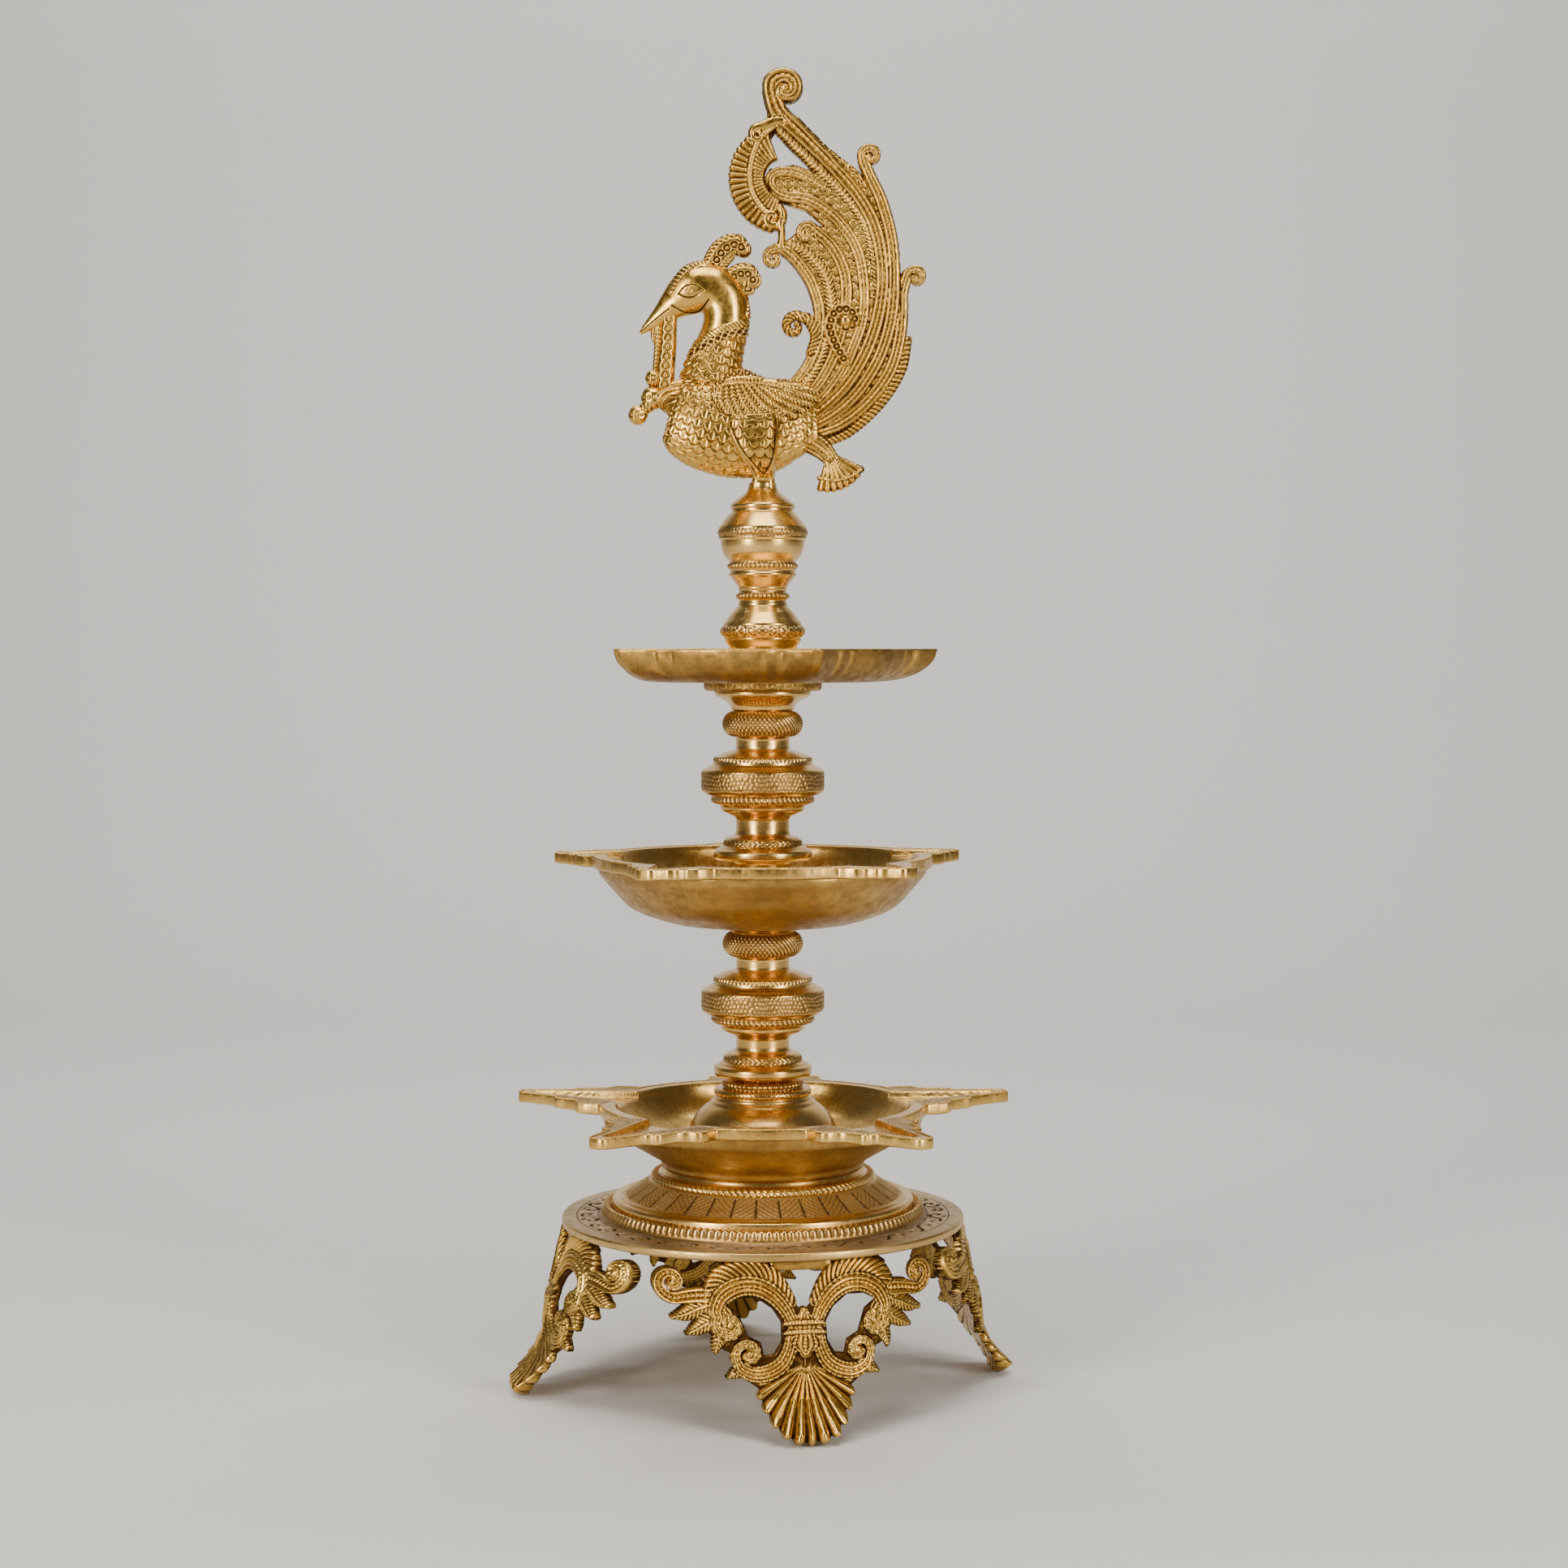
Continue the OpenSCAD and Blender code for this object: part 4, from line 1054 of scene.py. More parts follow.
def make_base_pedestal():
    foot, top = low("base_pedestal"), high("base_pedestal")
    rope_r, rope_z, rope_count = 50.3, top - 4, 106
    sectors, skirt_r, boss_r = 35, 59, 11
    profile = ([(70, foot), (70.2, foot + 0.4), (70, foot + 3.4), (69.2, foot + 4.2), (68.2, foot + 4.4),
                (67.6, foot + 4.0), (66.8, foot + 4.1), (66.2, foot + 4.8), (65.2, foot + 5.2),
                (64.6, foot + 4.9), (59, foot + 8.2), (53.6, foot + 11.9), (52.5, foot + 12.6)]
               + arc(rope_r, rope_z, 1.8, -30, 120, 10)
               + [(48.6, top - 2.8), (48.0, top - 2.2), (47.4, top - 2.4), (46.6, top - 1.6),
                  (46.4, top - 0.4), (46, top)])
    hidden = [(25, top), (STUD_HOLE, top), (STUD_HOLE, foot), (boss_r, foot), (boss_r, top - 4),
              (28, top - 4), (44, top - 4), (47.5, top - 7), (52, foot), (61, foot)]

    def relief(theta, r, z):
        """Cross-hatched skirt in sectors, and the rope ring above it. The hatching, the rope's notches and the
        corners are drawn darker, painted shade with dirt in the corners; the high base value is painted light
        that keeps the skirt bright.
        """
        skirt = step_up(z, foot + 5.0, foot + 5.6) * step_up(foot + 12.2 - z, 0,
                                                             0.6) * (r > 50.5) * (r < 65.6)
        place = theta * sectors / TAU
        sector = np.floor(place)
        from_border = 1 - np.abs(place - sector - 0.5) * 2
        lean = np.where(np.mod(sector, 2) > 0, 0.75, -0.75)
        arc_length = (place - sector) * TAU / sectors * skirt_r
        hatch = np.abs(np.sin(math.pi * (r + lean * arc_length) / 2.3))
        broken = np.abs(np.sin(math.pi * (arc_length - 0.3 * lean * r) / 2.1))
        scored = np.maximum(groove(hatch, 0, 0.42), 0.6 * groove(broken, 0, 0.4))
        cut = skirt * np.maximum(0.8 * scored, groove(from_border, 0, 0.14))
        on_rope = (np.hypot(r - rope_r, z - rope_z) < 2.3) & (r > 48.7)
        twist = np.abs(np.sin(0.5 * rope_count * theta + 0.9 * (z - rope_z))) ** 0.6
        notch = on_rope * (1 - twist)
        shade_and_dirt = groove(r, 53.0, 0.8) + 0.7 * groove(r, 66.9, 0.5) + groove(r, 48.2, 0.5)
        return -0.5 * cut - 0.75 * notch, 0.84 - 0.8 * cut - 0.6 * notch - 0.35 * shade_and_dirt + 0.12 * on_rope

    def mats(r):
        """Paler chased brass on the skirt, its colour painted light; turned brass elsewhere."""
        return ((r > 52.8) & (r < 65.4)).astype(int)

    pedestal = closed_turned(profile, hidden, 954, 0.42, relief, mats)
    make_piece("base_pedestal_chased", [pedestal], [TURNED, SKIRT_PAINTED_LIGHT], "base", "turned_brass", "base_pedestal")


LEG_TURN = 11          # first leg's angle about the column
LEG_NODES = {"leg_front": -90, "leg_right": 0, "leg_rear": 90, "leg_left": 180}


def screw(x, y, head_top, shank_top):
    """A slotted pan head below, its shank above."""
    head_r, shank_r, tip_r, centre, slot_half = 3.8, 2.0, 1.5, 0.05, 0.45
    head_bottom = head_top - 2.6
    profile = resample([(centre, head_bottom), (2.6, head_bottom + 0.05), (3.4, head_bottom + 0.5),
                        (head_r, head_bottom + 1.3), (head_r, head_top - 0.05), (shank_r, head_top),
                        (shank_r, shank_top - 0.4), (tip_r, shank_top), (centre, shank_top)], 0.3)
    angle, z = np.meshgrid(round_angles(48), profile[:, 1])
    px, py = profile[:, :1] * np.cos(angle), profile[:, :1] * np.sin(angle)
    slot = (np.abs(px * math.cos(x) + py * math.sin(x)) < slot_half) & (z < head_bottom + 0.9)
    z = np.where(slot, head_bottom + 1.0, z)
    # The slot is drawn dark: painted shade in it.
    return skin(np.stack([px + x, py + y, z], axis=-1), np.where(slot, 0.1, 0.7), 0.1, 0.6)


def turned_by(a, x, y, z):
    """Points turned about the column axis by an angle in radians."""
    return np.stack([x * math.cos(a) - y * math.sin(a), x * math.sin(a) + y * math.cos(a), z + 0 * x],
                    axis=-1)


def make_screws():
    """One screw between each two legs into the pedestal, and two through the lug of each leg."""
    plate, lug = low("base_plate"), 4.0
    for node, places, turn, head_top in (("pedestal_screws", [(60, 0)], 45, plate),
                                         ("leg_screws", [(81, -9), (81, 9)], 0, plate - lug)):
        screws = []
        for k in range(4):
            a = math.radians(LEG_TURN + turn + 90 * k)
            for along, aside in places:
                x, y, _ = turned_by(a, along, aside, 0)
                screws.append(screw(x, y, head_top, high(node)))
        make_piece(node + "_slotted", screws, [STEEL], "base", "screw_steel", node)


# ---------------------------------------------------------------- legs

def leg_canvas():
    """Relief of one leg seen from outside. The left half is the mirror image of the right."""
    step = 0.36 / FINE
    u, z = np.meshgrid(np.arange(0, 64, step), np.arange(-0.5, 77, step))
    leaf = Canvas(u, z)
    leaf.ground([(0, 54), (5, 60), (10, 67), (15, 73), (19, 75.4), (36, 75.4), (39.4, 73), (39, 68.5),
                 (42, 64), (50, 57), (46, 50), (41, 46), (36, 39), (31, 37), (31, 29), (24, 25), (18, 21),
                 (0, 21)], 0.42)
    leaf.fan(0, 33, 1.5, [(-97, 33.2), (-90, 33.3), (-75, 32.5), (-60, 30.2), (-47, 27.6), (-29, 25.2),
                          (-20, 22)], 6.5, 0.35, 0.95, scallop=2.1)
    # leaves outside the scrolls
    for barb, top, points in (
            (1.9, 0.86, [(37, 58, 4.6), (44, 56, 4.2), (50, 53, 3.4), (55.4, 51.2, 1.2)]),
            (1.9, 0.84, [(35, 53, 4.6), (41, 50, 4.0), (46, 47, 3.0), (49.6, 45, 1.2)]),
            (1.8, 0.84, [(33, 48, 4.0), (36.5, 43.5, 3.4), (38, 39.5, 2.2), (38.2, 37.2, 0.9)]),
            (1.7, 0.84, [(26, 31, 3.4), (30, 29, 2.8), (33.4, 27.2, 1.0)])):
        leaf.stroke(points, barbed(barb, 0.9), 0.4, top)
    # side arm with its curl
    leaf.stroke([(34, 62, 3.6), (40, 61.5, 3.8), (46, 61, 3.6), (51, 60, 3.2)]
                + spiral(55.2, 65.6, (6.4, 1.2), (-100, 330), (3.0, 1.2), 16), ridged(3, 1.9), 0.42, 0.95)
    leaf.boss(55.2, 65.8, 2.0, 0.6, 1.0)
    # fringe over the arch
    leaf.stroke([(5.5, 59, 2.6), (9.6, 66, 3.2), (15, 71.2, 3.6), (22, 73, 3.4), (30, 72.4, 3.4),
                 (36.5, 69.5, 3.4), (40.5, 65.2, 2.4)], fringed(2.9, -1.0), 0.42, 0.9)
    # upper scroll
    leaf.stroke([(5, 50, 3.0), (8.2, 56.5, 3.6), (13.6, 62.4, 4.2), (20.5, 65.6, 4.5), (28, 65.2, 4.5),
                 (34.4, 61.4, 4.3), (37.4, 55.6, 3.8)]
                + spiral(32.4, 49.4, (5.4, 1.3), (35, -400), (3.0, 1.2), 22), ridged(5, 2.3), 0.42, 1.0)
    leaf.boss(32.2, 49.4, 1.9, 0.6, 1.0)
    # lower scroll
    leaf.stroke([(6, 46, 2.8), (6.8, 40, 3.4), (9.8, 33.8, 3.8), (15.2, 30, 3.9), (21.5, 28.8, 3.7),
                 (27, 30.6, 3.4)] + spiral(24.4, 37.0, (5.6, 1.2), (-40, 390), (2.8, 1.1), 22),
                ridged(5, 2.3), 0.42, 1.0)
    leaf.boss(24.4, 37.2, 1.7, 0.6, 1.0)
    # knot
    leaf.stroke([(0, 54.6, 2.2), (0, 51.5, 4.6), (0, 48.5, 5.2), (0, 45, 4.8), (0, 41, 6.4), (0, 38, 3)],
                ridged(5, 1.6), 0.5, 0.98)
    for tie in (46.6, 50.4):
        leaf.stroke([(-1, tie, 1.35), (4, tie, 1.35), (8.4, tie - 0.3, 1.2), (9.4, tie - 0.6, 0.6)],
                    ridged(1, 1.5), 0.6, 1.0)
    leaf.cut([(33.5, 57.4), (28, 60.2), (20, 60.4), (13.6, 56), (10, 50.4), (10.2, 42.4), (13.4, 37),
              (17.6, 36.2), (19, 42), (24.3, 44.7), (25.6, 48), (28, 54)])
    leaf.outside = np.maximum(leaf.outside, 0.02 - z)
    whole = Canvas(np.hstack([-u[:, :0:-1], u]), np.hstack([z[:, :0:-1], z]))
    for name in ("height", "cavity", "outside"):
        half = getattr(leaf, name)
        setattr(whole, name, np.hstack([half[:, :0:-1], half]))
    return whole


def make_legs():
    """The leg's sheet bent to a face of radii by height, the same four times, with a lug under the plate."""
    face = [(0, 115.5), (3.5, 119), (6, 118.6), (12, 112.5), (19, 107), (28, 103.4), (44, 102), (60, 97.5),
            (75.7, 94.2)]
    back = [(0, 110), (4, 110), (10.5, 107.5), (19, 102), (28, 98.4), (44, 97), (60, 92.5), (75.7, 89.2)]
    lug = np.array([(74.6, -13.5), (76, -15), (90.2, -14.2), (91, -13), (91, 13), (90.2, 14.2), (76, 15),
                    (74.6, 13.5)])
    canvas = leg_canvas()
    top = low("base_plate")
    ring = closed_curve(lug, 1.2)
    for node, turn in LEG_NODES.items():
        a = math.radians(LEG_TURN + turn)

        def front(u, z, share):
            outer, inner = (np.interp(z, *zip(*points)) for points in (face, back))
            r = inner + (outer - inner) * share
            return turned_by(a, np.sqrt(r * r - u * u), u, z)

        def rear(u, z, share):
            return front(u, z, 0 * share + 0.08)

        rows = []
        for z, inset in ((top - 4, 1.0), (top - 4, 0.35), (top - 3.6, 0.0), (top - 0.3, 0.0),
                         (top - 0.02, 0.3)):
            x, y = (ring - outward(ring) * inset).T
            rows.append(turned_by(a, x, y, z))
        skins = [cast_sheet(canvas, front, rear, 1.1, 0.5), skin(np.array(rows), 0.45, 0.45, 0.45)]
        make_piece(node + "_scrolled", skins, [CAST], "base", "cast_brass", node)


make_bottom_dish()
make_middle_dish()
make_top_dish()
make_base_plate()
make_base_pedestal()
make_screws()
make_legs()


# ---------------------------------------------------------------- peacock

def tail_canvas():
    """The raised tail, its fanned head and the small tail below, as half thicknesses in mm."""
    step = 0.43 / FINE
    x, z = np.meshgrid(np.arange(-18, 79, step), np.arange(411, 611, step))
    tail = Canvas(x, z)
    tail.ground([(10, 440), (10, 462), (20, 473), (24, 484), (25, 497), (20, 512), (10, 523), (12, 530),
                 (20, 537), (28, 536), (20, 543), (8, 547), (1, 553), (3, 562), (14, 564), (27, 560),
                 (8, 578), (2, 586), (2, 592), (16, 586), (30, 572), (44, 561), (53, 549), (60, 530),
                 (64, 508), (64, 484), (56, 461), (42, 446), (28, 439)], 3.3, 3.6, 1.5)
    low_side, high_side = 3.4, 6.0
    rope_edge = [(27, 436.6, 1.8), (40, 442.2, 2.2), (54, 455, 2.4), (63.4, 470, 2.6), (66.6, 484, 2.2)]
    tail.stroke(rope_edge, fringed(2.2, 0.5), 2.8, 5.2)
    tail.stroke([(22, 441, 3.0), (36, 446, 3.1), (49, 456.6, 3.1), (58.6, 470, 3.1), (63, 485, 3.0),
                 (64.2, 498, 2.9), (64.4, 506, 2.8), (66.4, 513.4, 2.7)]
                + spiral(70.6, 512.8, (3.9, 1.1), (165, -190), (2.4, 1.3), 14), ridged(3, 2.5), low_side,
                high_side)
    tail.stroke([(14, 442, 2.8), (30, 448.5, 3.0), (43, 459.6, 3.0), (53, 475, 3.0), (58.6, 492, 3.0),
                 (60.4, 510, 3.0), (59.4, 529, 3.0), (54.8, 546.6, 3.0), (49.6, 558, 2.9), (46.6, 565, 2.7)]
                + spiral(49.6, 568, (3.9, 1.1), (165, -190), (2.5, 1.3), 14), ridged(3, 2.6), low_side,
                high_side)
    # bands inside the long feathers
    tail.stroke([(14, 448, 2.4), (26, 456, 2.6), (35, 467, 2.6), (41.4, 480, 2.6), (46, 494, 2.6),
                 (46.4, 510, 2.7), (43, 526, 2.8), (33.6, 539.6, 2.8), (21.6, 547.6, 2.8),
                 (10.6, 549.4, 2.7), (4.4, 553.4, 2.6), (4, 558.6, 2.4), (9.6, 560.8, 2.4), (18, 559, 2.3),
                 (27.6, 553.6, 1.8)], ridged(3, 2.4), low_side, 5.7)
    tail.stroke([(14, 454, 2.4), (24, 462, 2.6), (31.4, 474, 2.8), (36, 488, 2.9), (38.4, 503, 3.0),
                 (37.2, 516, 3.0), (31.6, 527, 3.0), (24.4, 533.6, 2.8)]
                + spiral(20.2, 532.6, (3.7, 1.1), (70, 400), (2.5, 1.3), 14), ridged(3, 2.4), low_side, 5.8)
    tail.stroke([(18, 462, 2.2), (25.4, 474, 2.6), (30, 488, 2.8), (31.4, 501, 2.8), (28.4, 514, 2.8),
                 (20, 524, 2.6), (12.4, 528, 2.2)], barbed(2.0, 0.9), low_side, 5.5)
    tail.stroke([(14, 464, 2.2), (21, 473, 2.5), (25.2, 485, 2.7), (26, 498, 2.8), (22, 511, 2.8),
                 (14.4, 521.6, 2.7), (8.4, 525.8, 2.6)]
                + spiral(5.2, 521.4, (4.0, 1.0), (90, 430), (2.3, 1.2), 14), ridged(3, 2.4), low_side, 5.7)
    tail.stroke([(52.5, 500, 1.9), (52, 518, 2.2), (47.6, 536, 2.3), (38.6, 549, 2.3), (27.6, 560, 2.3),
                 (15, 572, 2.2), (6.6, 580, 1.8)], barbed(2.0, 1.0), low_side, 5.4)
    # the long feather that ends in the crown scroll
    tail.stroke([(12, 444, 2.6), (26, 452, 3.0), (38.6, 464, 3.1), (48, 480, 3.2), (53.6, 498, 3.2),
                 (55, 516, 3.2), (51.6, 535, 3.2), (43.4, 550.4, 3.3), (30.6, 565, 3.4), (16.4, 579, 3.9),
                 (7.4, 588, 4.4), (4.4, 596.4, 4.4)]
                + spiral(10.6, 598.4, (6.8, 1.5), (160, -220), (4.3, 1.9), 18), ridged(3, 3.0), low_side,
                high_side)
    tail.boss(10.6, 598.8, 2.2, 4.2, 5.8)
    # scroll on the tail's middle and the curl inside it
    tail.stroke([(38, 474, 2.0), (33.4, 482, 2.4), (30.8, 489, 2.6)]
                + spiral(38, 492.6, (6.8, 1.6), (190, -190), (2.7, 1.3), 18), ringed(3.2), 3.9, 7.2)
    tail.boss(38, 492.8, 3.1, 4.2, 7.0)
    tail.stroke([(22, 478, 2.2), (24.4, 486, 2.6), (21.4, 493.2, 2.6)]
                + spiral(14.8, 490.4, (5.2, 1.2), (50, 420), (2.6, 1.3), 16), fringed(2.1, 0.8), 3.4, 5.6)
    # fanned head
    tail.ground([(2, 541), (6, 538), (9, 543), (5, 550), (1, 558), (-0.5, 568), (4, 576), (8, 582),
                 (3, 585), (-2, 578)], 2.8)
    tail.fan(10, 558, 9, [(109, 25.8), (258, 25.8)], 21, 2.3, 4.7, scallop=0.7)
    tail.stroke([(7.4, 582.6, 1.5), (-1.4, 575.4, 1.8), (-5.6, 563, 1.8), (-4.8, 552, 1.8),
                 (0.6, 543.4, 1.8), (5, 541, 1.4)], ridged(1, 1.7), 3.2, 5.0)
    tail.stroke([(9, 584, 2.0), (5, 583.6, 2.4), (0, 581.6, 2.4)]
                + spiral(-2.0, 577.4, (3.6, 1.0), (100, 400), (2.0, 1.0), 12), roll, 3.2, 5.2)
    tail.stroke([(8, 545, 1.6), (9.2, 541, 2.2), (7.6, 536.6, 2.3)]
                + spiral(4.4, 539.6, (3.4, 0.9), (-60, -420), (2.2, 1.1), 14), roll, 3.4, 5.4)
    tail.stroke([(8.4, 538, 1.9), (8.8, 533, 1.7), (8.6, 527, 2.0)], roll, 3.0, 4.6)
    # small tail
    tail.stroke([(10, 441, 5.6), (20, 438.6, 5.4), (27, 434.6, 4.8), (32.6, 428.6, 3.4)], ridged(5, 1.7),
                2.2, 4.4)
    tail.fan(30, 433.6, 4.5, [(-106, 19.2), (-24, 19.2)], 8, 1.7, 3.5, scallop=0.8)
    tail.stroke([(25.8, 421.2, 0.9), (33, 419.8, 0.9), (40.4, 421.6, 0.9), (46, 425.2, 0.8)],
                ridged(1, 1.6), 2.6, 3.9)
    return tail


def crest_canvas():
    """The crest's base, plume and lobe, each with a dotted middle."""
    step = 0.36 / FINE
    x, z = np.meshgrid(np.arange(-36, 4, step), np.arange(502, 537, step))
    crest = Canvas(x, z)
    crest.stroke([(-30, 507, 4.0), (-22, 512, 6.2), (-12, 508.6, 5.0), (-6, 507.4, 2.6)], ringed(3.4), 2.0,
                 3.4)
    plume = [(-25.5, 509, 4.6), (-23, 517, 5.4), (-18.4, 524.4, 6.0), (-12.6, 527.6, 5.4),
             (-8.6, 525.6, 3.6)]
    lobe = [(-18, 506, 3.8), (-13.4, 512.6, 4.8), (-7.6, 514.4, 5.2), (-4.4, 511.6, 4.0)]
    for outline, dots in ((plume, 3.6), (lobe, 3.4)):
        crest.stroke(outline, fringed(1.8, 0.8), 1.9, 3.5)
        crest.stroke([(x, z, 0.56 * w) for x, z, w in outline], ringed(dots), 2.2, 4.0)
    return crest


def wing_canvas(x, z):
    """Raised folded wing on the side of the body: barbed feathers under a band of punched rings."""
    wing = Canvas(x, z)
    wing.ground([(-23, 461), (-20, 466.5), (-10, 469), (4, 467.6), (16, 466), (25, 464), (23, 456),
                 (14, 449.4), (2, 445.0), (-7, 444.4), (-15, 448), (-21, 455)], 0.6)
    feathers = 12
    for k in range(feathers):
        t = k / (feathers - 1)
        start = (-19 + 17 * t, 463.6 + 1.6 * math.sin(math.pi * t))
        turn = math.radians(208 + 150 * t)
        end = (1.5 + 23.5 * math.cos(turn), 460.5 + 15.5 * math.sin(turn) * (1 - 0.12 * t))
        middle = (0.46 * start[0] + 0.54 * end[0] - 2.6 * (1 - 0.3 * t), 0.42 * start[1] + 0.58 * end[1]
                  + 0.6)
        wing.stroke([(*start, 0.9), (*middle, 1.8), (*end, 2.1)], barbed(1.7, 1.1, 0.26), 0.3, 2.2)
    wing.stroke([(-21.5, 461.5, 1.6), (-15, 466.4, 2.4), (-4, 467, 2.6), (8, 465, 2.6), (23, 463.4, 2.0)],
                ringed(2.9), 0.9, 2.3)
    wing.stroke([(-21, 457, 0.8), (-19.4, 461.4, 0.9), (-12, 462.8, 0.9), (-2, 462.6, 0.9),
                 (9, 460.6, 0.8)], ridged(1, 1.5), 1.0, 2.5)
    return wing


def from_top(angle):
    """How far round a swept body a point lies from its upper side, 0 to pi on both sides alike."""
    return np.abs(np.mod(angle + math.pi, TAU) - math.pi)


def body_relief(x, z, angle, along):
    """Scales, and the wing on both sides."""
    scale = scales(from_top(angle) * 22 / 4.1, along / 5.0)
    wing = wing_canvas(x, z)
    on_wing = (wing.outside < 0) & (np.abs(np.sin(angle)) > 0.25)
    rise = step_up(-wing.outside, 0, 0.7)
    # Low cavity values in the scale dips and the wing's grooves: painted shade.
    return (np.where(on_wing, wing.height * rise, 1.3 * scale - 0.7),
            np.where(on_wing, wing.cavity, 0.12 + 0.85 * scale))


def head_relief(x, z, angle, along):
    """Scaled lower neck, plain upper neck and face, braided collars, eye and a beaded ridge."""
    face = Canvas(x, z)
    face.cavity = np.full(x.shape, 0.86)
    cheek = [(-41.5, 499.8), (-36, 496.6), (-29, 497.4), (-24.6, 502)]
    beak = [(-43, 498), (-49, 493.8), (-56, 488.2)]
    upper_lid = [(-38.6, 504.6), (-35, 508.2), (-30.4, 508.4), (-26.8, 506)]
    lower_lid = [(-38.6, 504.6), (-35, 503.2), (-31, 503.4), (-26.8, 506)]
    for points in (cheek, beak, upper_lid, lower_lid):
        face.stroke(widths(points, 0.34), lambda a, s, w: crown(a), 0.0, -0.42)
        # The incised lines are drawn dark: painted shade in them.
        face.cavity = np.where(face.height < -0.1, 0.1, face.cavity)
    face.boss(-33.6, 505.8, 1.7, 0.0, 0.7, ring=0.7)
    face.stroke([(-42, 505.6, 1.2), (-37.6, 513, 1.6), (-30, 519.6, 1.9), (-22, 521.6, 2.0),
                 (-13, 518.6, 2.0), (-7.4, 511, 1.9), (-5.6, 502, 1.6), (-6.2, 495, 1.2)],
                fringed(1.9, 0.4), 0.2, 1.3)
    face.stroke([(-36.4, 474.4, 1.9), (-28, 480, 2.1), (-17, 485.4, 2.1), (-4, 489.4, 2.0)], braided(3.4),
                0.1, 1.3)
    face.stroke([(-35, 479.6, 1.1), (-27, 484.4, 1.3), (-17, 489, 1.3), (-4, 493, 1.1)], fringed(1.7, 0.6),
                0.1, 1.1)
    below = signed_distance(x, z, [(-60, 440), (0, 440), (0, 488.6), (-17, 483.4), (-28, 478),
                                   (-36.4, 472.4)])
    scale = scales(-along / 4.1, from_top(angle) * 11 / 4.4)
    return (np.where(below < 0, 1.1 * scale - 0.5, face.height),
            np.where(below < 0, 0.12 + 0.85 * scale, face.cavity))


def beaded(pitch, depth):
    """Beads in a row."""
    def relief(x, z, angle, along):
        bead = np.abs(np.sin(math.pi * along / pitch))
        # Darker between the beads: painted shade.
        return depth * (bead - 0.6), 0.12 + 0.8 * bead
    return relief


def punched_rings(pitch, depth):
    """A row of punched rings on each side."""
    def relief(x, z, angle, along):
        side = np.abs(np.sin(angle))
        ring = np.hypot(np.mod(along, pitch) - 0.5 * pitch, 4.2 * np.cos(angle)) / (0.44 * pitch)
        cut = groove(ring, 0.8, 0.26) * (side > 0.3)
        # The punched rings are drawn dark: painted shade in them.
        return -depth * cut, 0.85 - 0.7 * cut
    return relief


def leg_shield_relief(x, z, angle, along):
    """A scaled apron between two plain borders; the neck below it is left smooth."""
    heights = [421, 424, 428.5, 434, 441, 446]
    half = np.interp(z, heights, [0.5, 3.6, 6.8, 9.6, 11.8, 12.4])
    middle = np.interp(z, heights, [0.4, 0.4, -0.6, -2.2, -3.6, -4.2])
    inside = half - 1.5 - np.abs(x - middle)
    above_tip = step_up(z, 421, 422)
    apron = step_up(inside, 0, 0.5) * above_tip
    border = groove(inside, 0, 0.5) * above_tip
    scale = scales((450 - z) / 4.4, (x + 30) / 4.8)
    # The scale dips and the sunken borders are drawn darker: painted shade.
    return apron * (0.9 * scale - 0.8) - 0.5 * border, 0.88 - 0.85 * apron * (1 - scale) - 0.75 * border


def knob(x, z, r, stretch):
    """Stations of a round knob for a sweep."""
    return [(x + r * t, z, r * crown(t), stretch * r * crown(t)) for t in np.linspace(-0.985, 0.985, 9)]


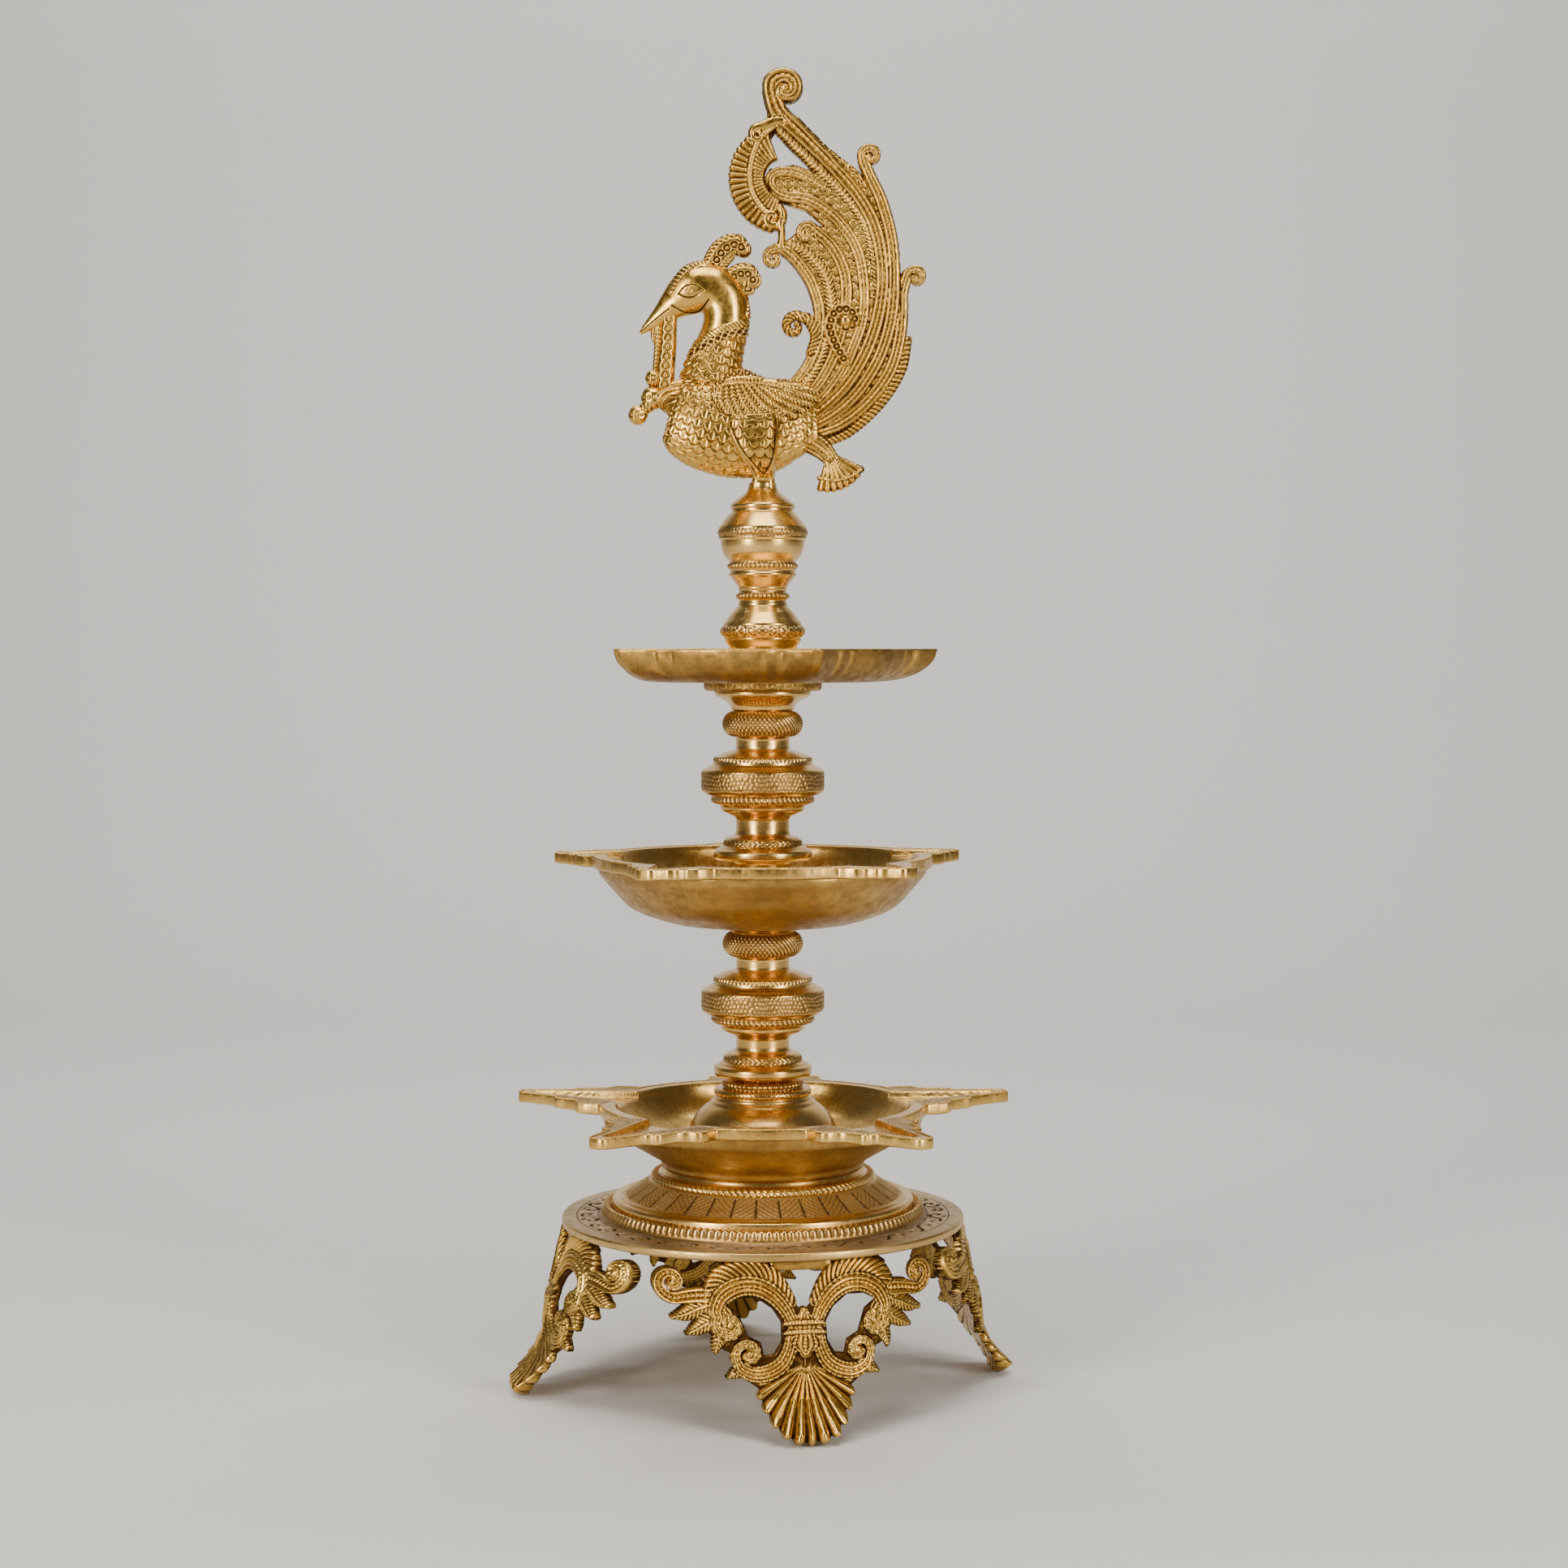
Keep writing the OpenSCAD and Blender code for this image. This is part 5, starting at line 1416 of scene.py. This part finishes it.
def make_peacock():
    """The body, its head, tail, crest and foot, and the strand that hangs from the beak."""
    sides = [(-44.6, 448, 454), (-43, 441.5, 464), (-40, 435.6, 468.6), (-35, 430.4, 470.6),
             (-27, 425.4, 471.4), (-15, 421.8, 470.4), (-6, 421.4, 468.6), (2, 424, 467), (10, 428.8, 466),
             (18, 433.4, 465), (25, 438, 461)]
    half_widths = (2.5, 7.5, 10.6, 13.2, 15.6, 16.8, 16.8, 16, 14.4, 11.6, 7.4)
    body = [(x, (lower + upper) / 2, (upper - lower) / 2, w) for (x, lower, upper),
            w in zip(sides, half_widths)]
    neck = [(-24, 464, 15, 13), (-21, 477, 12, 11), (-17.8, 488, 10.6, 9.6), (-16.8, 496, 10.4, 9.2),
            (-18.6, 503, 11.0, 9.2), (-23.6, 507.6, 11.6, 9.5), (-30, 507.8, 11.4, 9.5),
            (-36, 504.4, 9.8, 8.4), (-41.2, 500.4, 7.2, 6), (-46, 496.2, 4.9, 4), (-51, 492, 3.0, 2.4),
            (-56.6, 487.4, 0.8, 0.6)]
    apron = [(-4.4, 449, 13.6, 19.2), (-4.2, 446, 13.6, 19.8), (-3.6, 441, 13.0, 19.8),
             (-2.2, 434, 10.8, 18.8), (-0.6, 428.5, 8.0, 16.0), (0.4, 424, 5.9, 11.2),
             (0.4, 420.8, 5.3, 6.2), (0, low("peacock") + 0.05, 6.2, 6.2)]
    chain = [(-41.6, 500, 3.2, 4.0), (-43, 493, 3.8, 4.2), (-43.6, 482, 4.1, 4.4), (-44.6, 471, 4.3, 4.6),
             (-45, 462, 4.2, 4.6)]
    outer_chain = [(-46.2, 496, 1.0, 1.4), (-48, 489, 1.5, 1.8), (-48.6, 480, 1.5, 1.8),
                   (-49.4, 470, 1.4, 1.7)]
    tongue = [(-47.6, 494, 0.5, 1.2), (-49.6, 489.6, 1.7, 1.6), (-50.2, 485.6, 1.2, 1.2),
              (-50, 482.8, 0.3, 0.5)]
    link = [(-57, 450.6, 2.4, 3), (-53, 454, 3.2, 4), (-47, 459, 4.4, 5)]
    knobs = ((-50.2, 466.8, 4.0, 1.0), (-50.6, 457.8, 5.6, 0.95), (-57.4, 450, 4.6, 0.95))

    def left(x, z, h):
        return np.stack([x, -h, z], axis=-1)

    def right(x, z, h):
        return np.stack([x, h, z], axis=-1)

    strand = [sweep(chain, punched_rings(4.3, 0.7), columns=72, pitch=0.4),
              sweep(outer_chain, beaded(1.9, 0.5), columns=40, pitch=0.35),
              sweep(tongue, beaded(1.5, 0.3), columns=36, pitch=0.35)]
    strand += [sweep(knob(*place), punched_rings(2.6, 0.5), columns=64, pitch=0.35) for place in knobs]
    strand.append(sweep(link, beaded(2.1, 0.4), columns=56, pitch=0.35))
    pieces = {"body": [sweep(body, body_relief, columns=330, pitch=0.36, squareness=0.96)],
              "neck_and_head": [sweep(neck, head_relief, columns=260, pitch=0.34)],
              "tail": [cast_sheet(tail_canvas(), left, right, 1.6, 0.5)],
              "crest": [cast_sheet(crest_canvas(), left, right, 1.2, 0.5)],
              "strand": strand,
              "foot": [sweep(apron, leg_shield_relief, columns=320, pitch=0.34, squareness=0.55)]}
    for part, skins in pieces.items():
        replaced = ["peacock"] if part == "body" else []
        make_piece("peacock_" + part, skins, [CAST], "finial", "cast_brass", *replaced)


make_peacock()


# ---------------------------------------------------------------- stage

def make_stage():
    """Pale seamless floor and backdrop, soft boxes and the camera at the lamp's own height."""
    paper = bpy.data.materials.new("studio_paper")
    paper.use_nodes = True
    shade = paper.node_tree.nodes["Principled BSDF"]
    shade.inputs["Base Color"].default_value = (0.60, 0.59, 0.57, 1)
    shade.inputs["Roughness"].default_value = 0.8
    half_width, front, back_start, bend, height = 4.0, -3.5, 1.3, 1.1, 4.5      # metres
    profile = [(front, 0.0), (back_start, 0.0)]
    profile += [(back_start + bend * math.sin(a), bend - bend * math.cos(a))
                for a in np.radians(np.arange(6, 91, 6))]
    profile.append((back_start + bend, height))
    points = [(x, y, z) for y, z in profile for x in (-half_width, half_width)]
    faces = [(2 * i, 2 * i + 1, 2 * i + 3, 2 * i + 2) for i in range(len(profile) - 1)]
    mesh = bpy.data.meshes.new("backdrop")
    mesh.from_pydata(points, [], faces)
    mesh.materials.append(paper)
    for face in mesh.polygons:
        face.use_smooth = True
    ground = bpy.data.objects.new("backdrop", mesh)
    bpy.context.scene.collection.objects.link(ground)

    world = bpy.data.worlds.new("studio")
    world.use_nodes = True
    sky = world.node_tree.nodes["Background"]
    sky.inputs["Color"].default_value = (0.50, 0.47, 0.44, 1)
    sky.inputs["Strength"].default_value = 0.22
    bpy.context.scene.world = world

    def soft_box(name, place, aim, width, height, watts, colour=(1, 1, 1)):
        light = bpy.data.lights.new(name, "AREA")
        light.shape, light.size, light.size_y = "RECTANGLE", width, height
        light.energy, light.color = watts, colour
        lamp = bpy.data.objects.new(name, light)
        lamp.location = place
        lamp.rotation_euler = (Vector(aim) - Vector(place)).to_track_quat("-Z", "Y").to_euler()
        bpy.context.scene.collection.objects.link(lamp)

    soft_box("key_left", (-1.15, -1.35, 0.75), (0, 0, 0.32), 0.40, 1.5, 34, (1.0, 0.95, 0.86))
    soft_box("key_right", (1.25, -1.30, 0.7), (0, 0, 0.32), 0.36, 1.4, 26, (1.0, 0.95, 0.88))
    soft_box("overhead", (0.0, -0.5, 1.9), (0, 0, 0.3), 1.2, 0.9, 22, (1.0, 0.98, 0.95))
    soft_box("backdrop_light", (0.0, 0.9, 2.6), (0, 2.2, 0.7), 2.4, 0.6, 60, (1.0, 0.99, 0.97))

    eye = bpy.data.cameras.new("camera")
    eye.lens, eye.sensor_width = 66.6, 36
    camera = bpy.data.objects.new("camera", eye)
    camera.location = (0.00986, -1.3437, 0.3433)
    camera.rotation_euler = (math.radians(87.294), 0, 0)
    bpy.context.scene.collection.objects.link(camera)
    bpy.context.scene.camera = camera


make_stage()
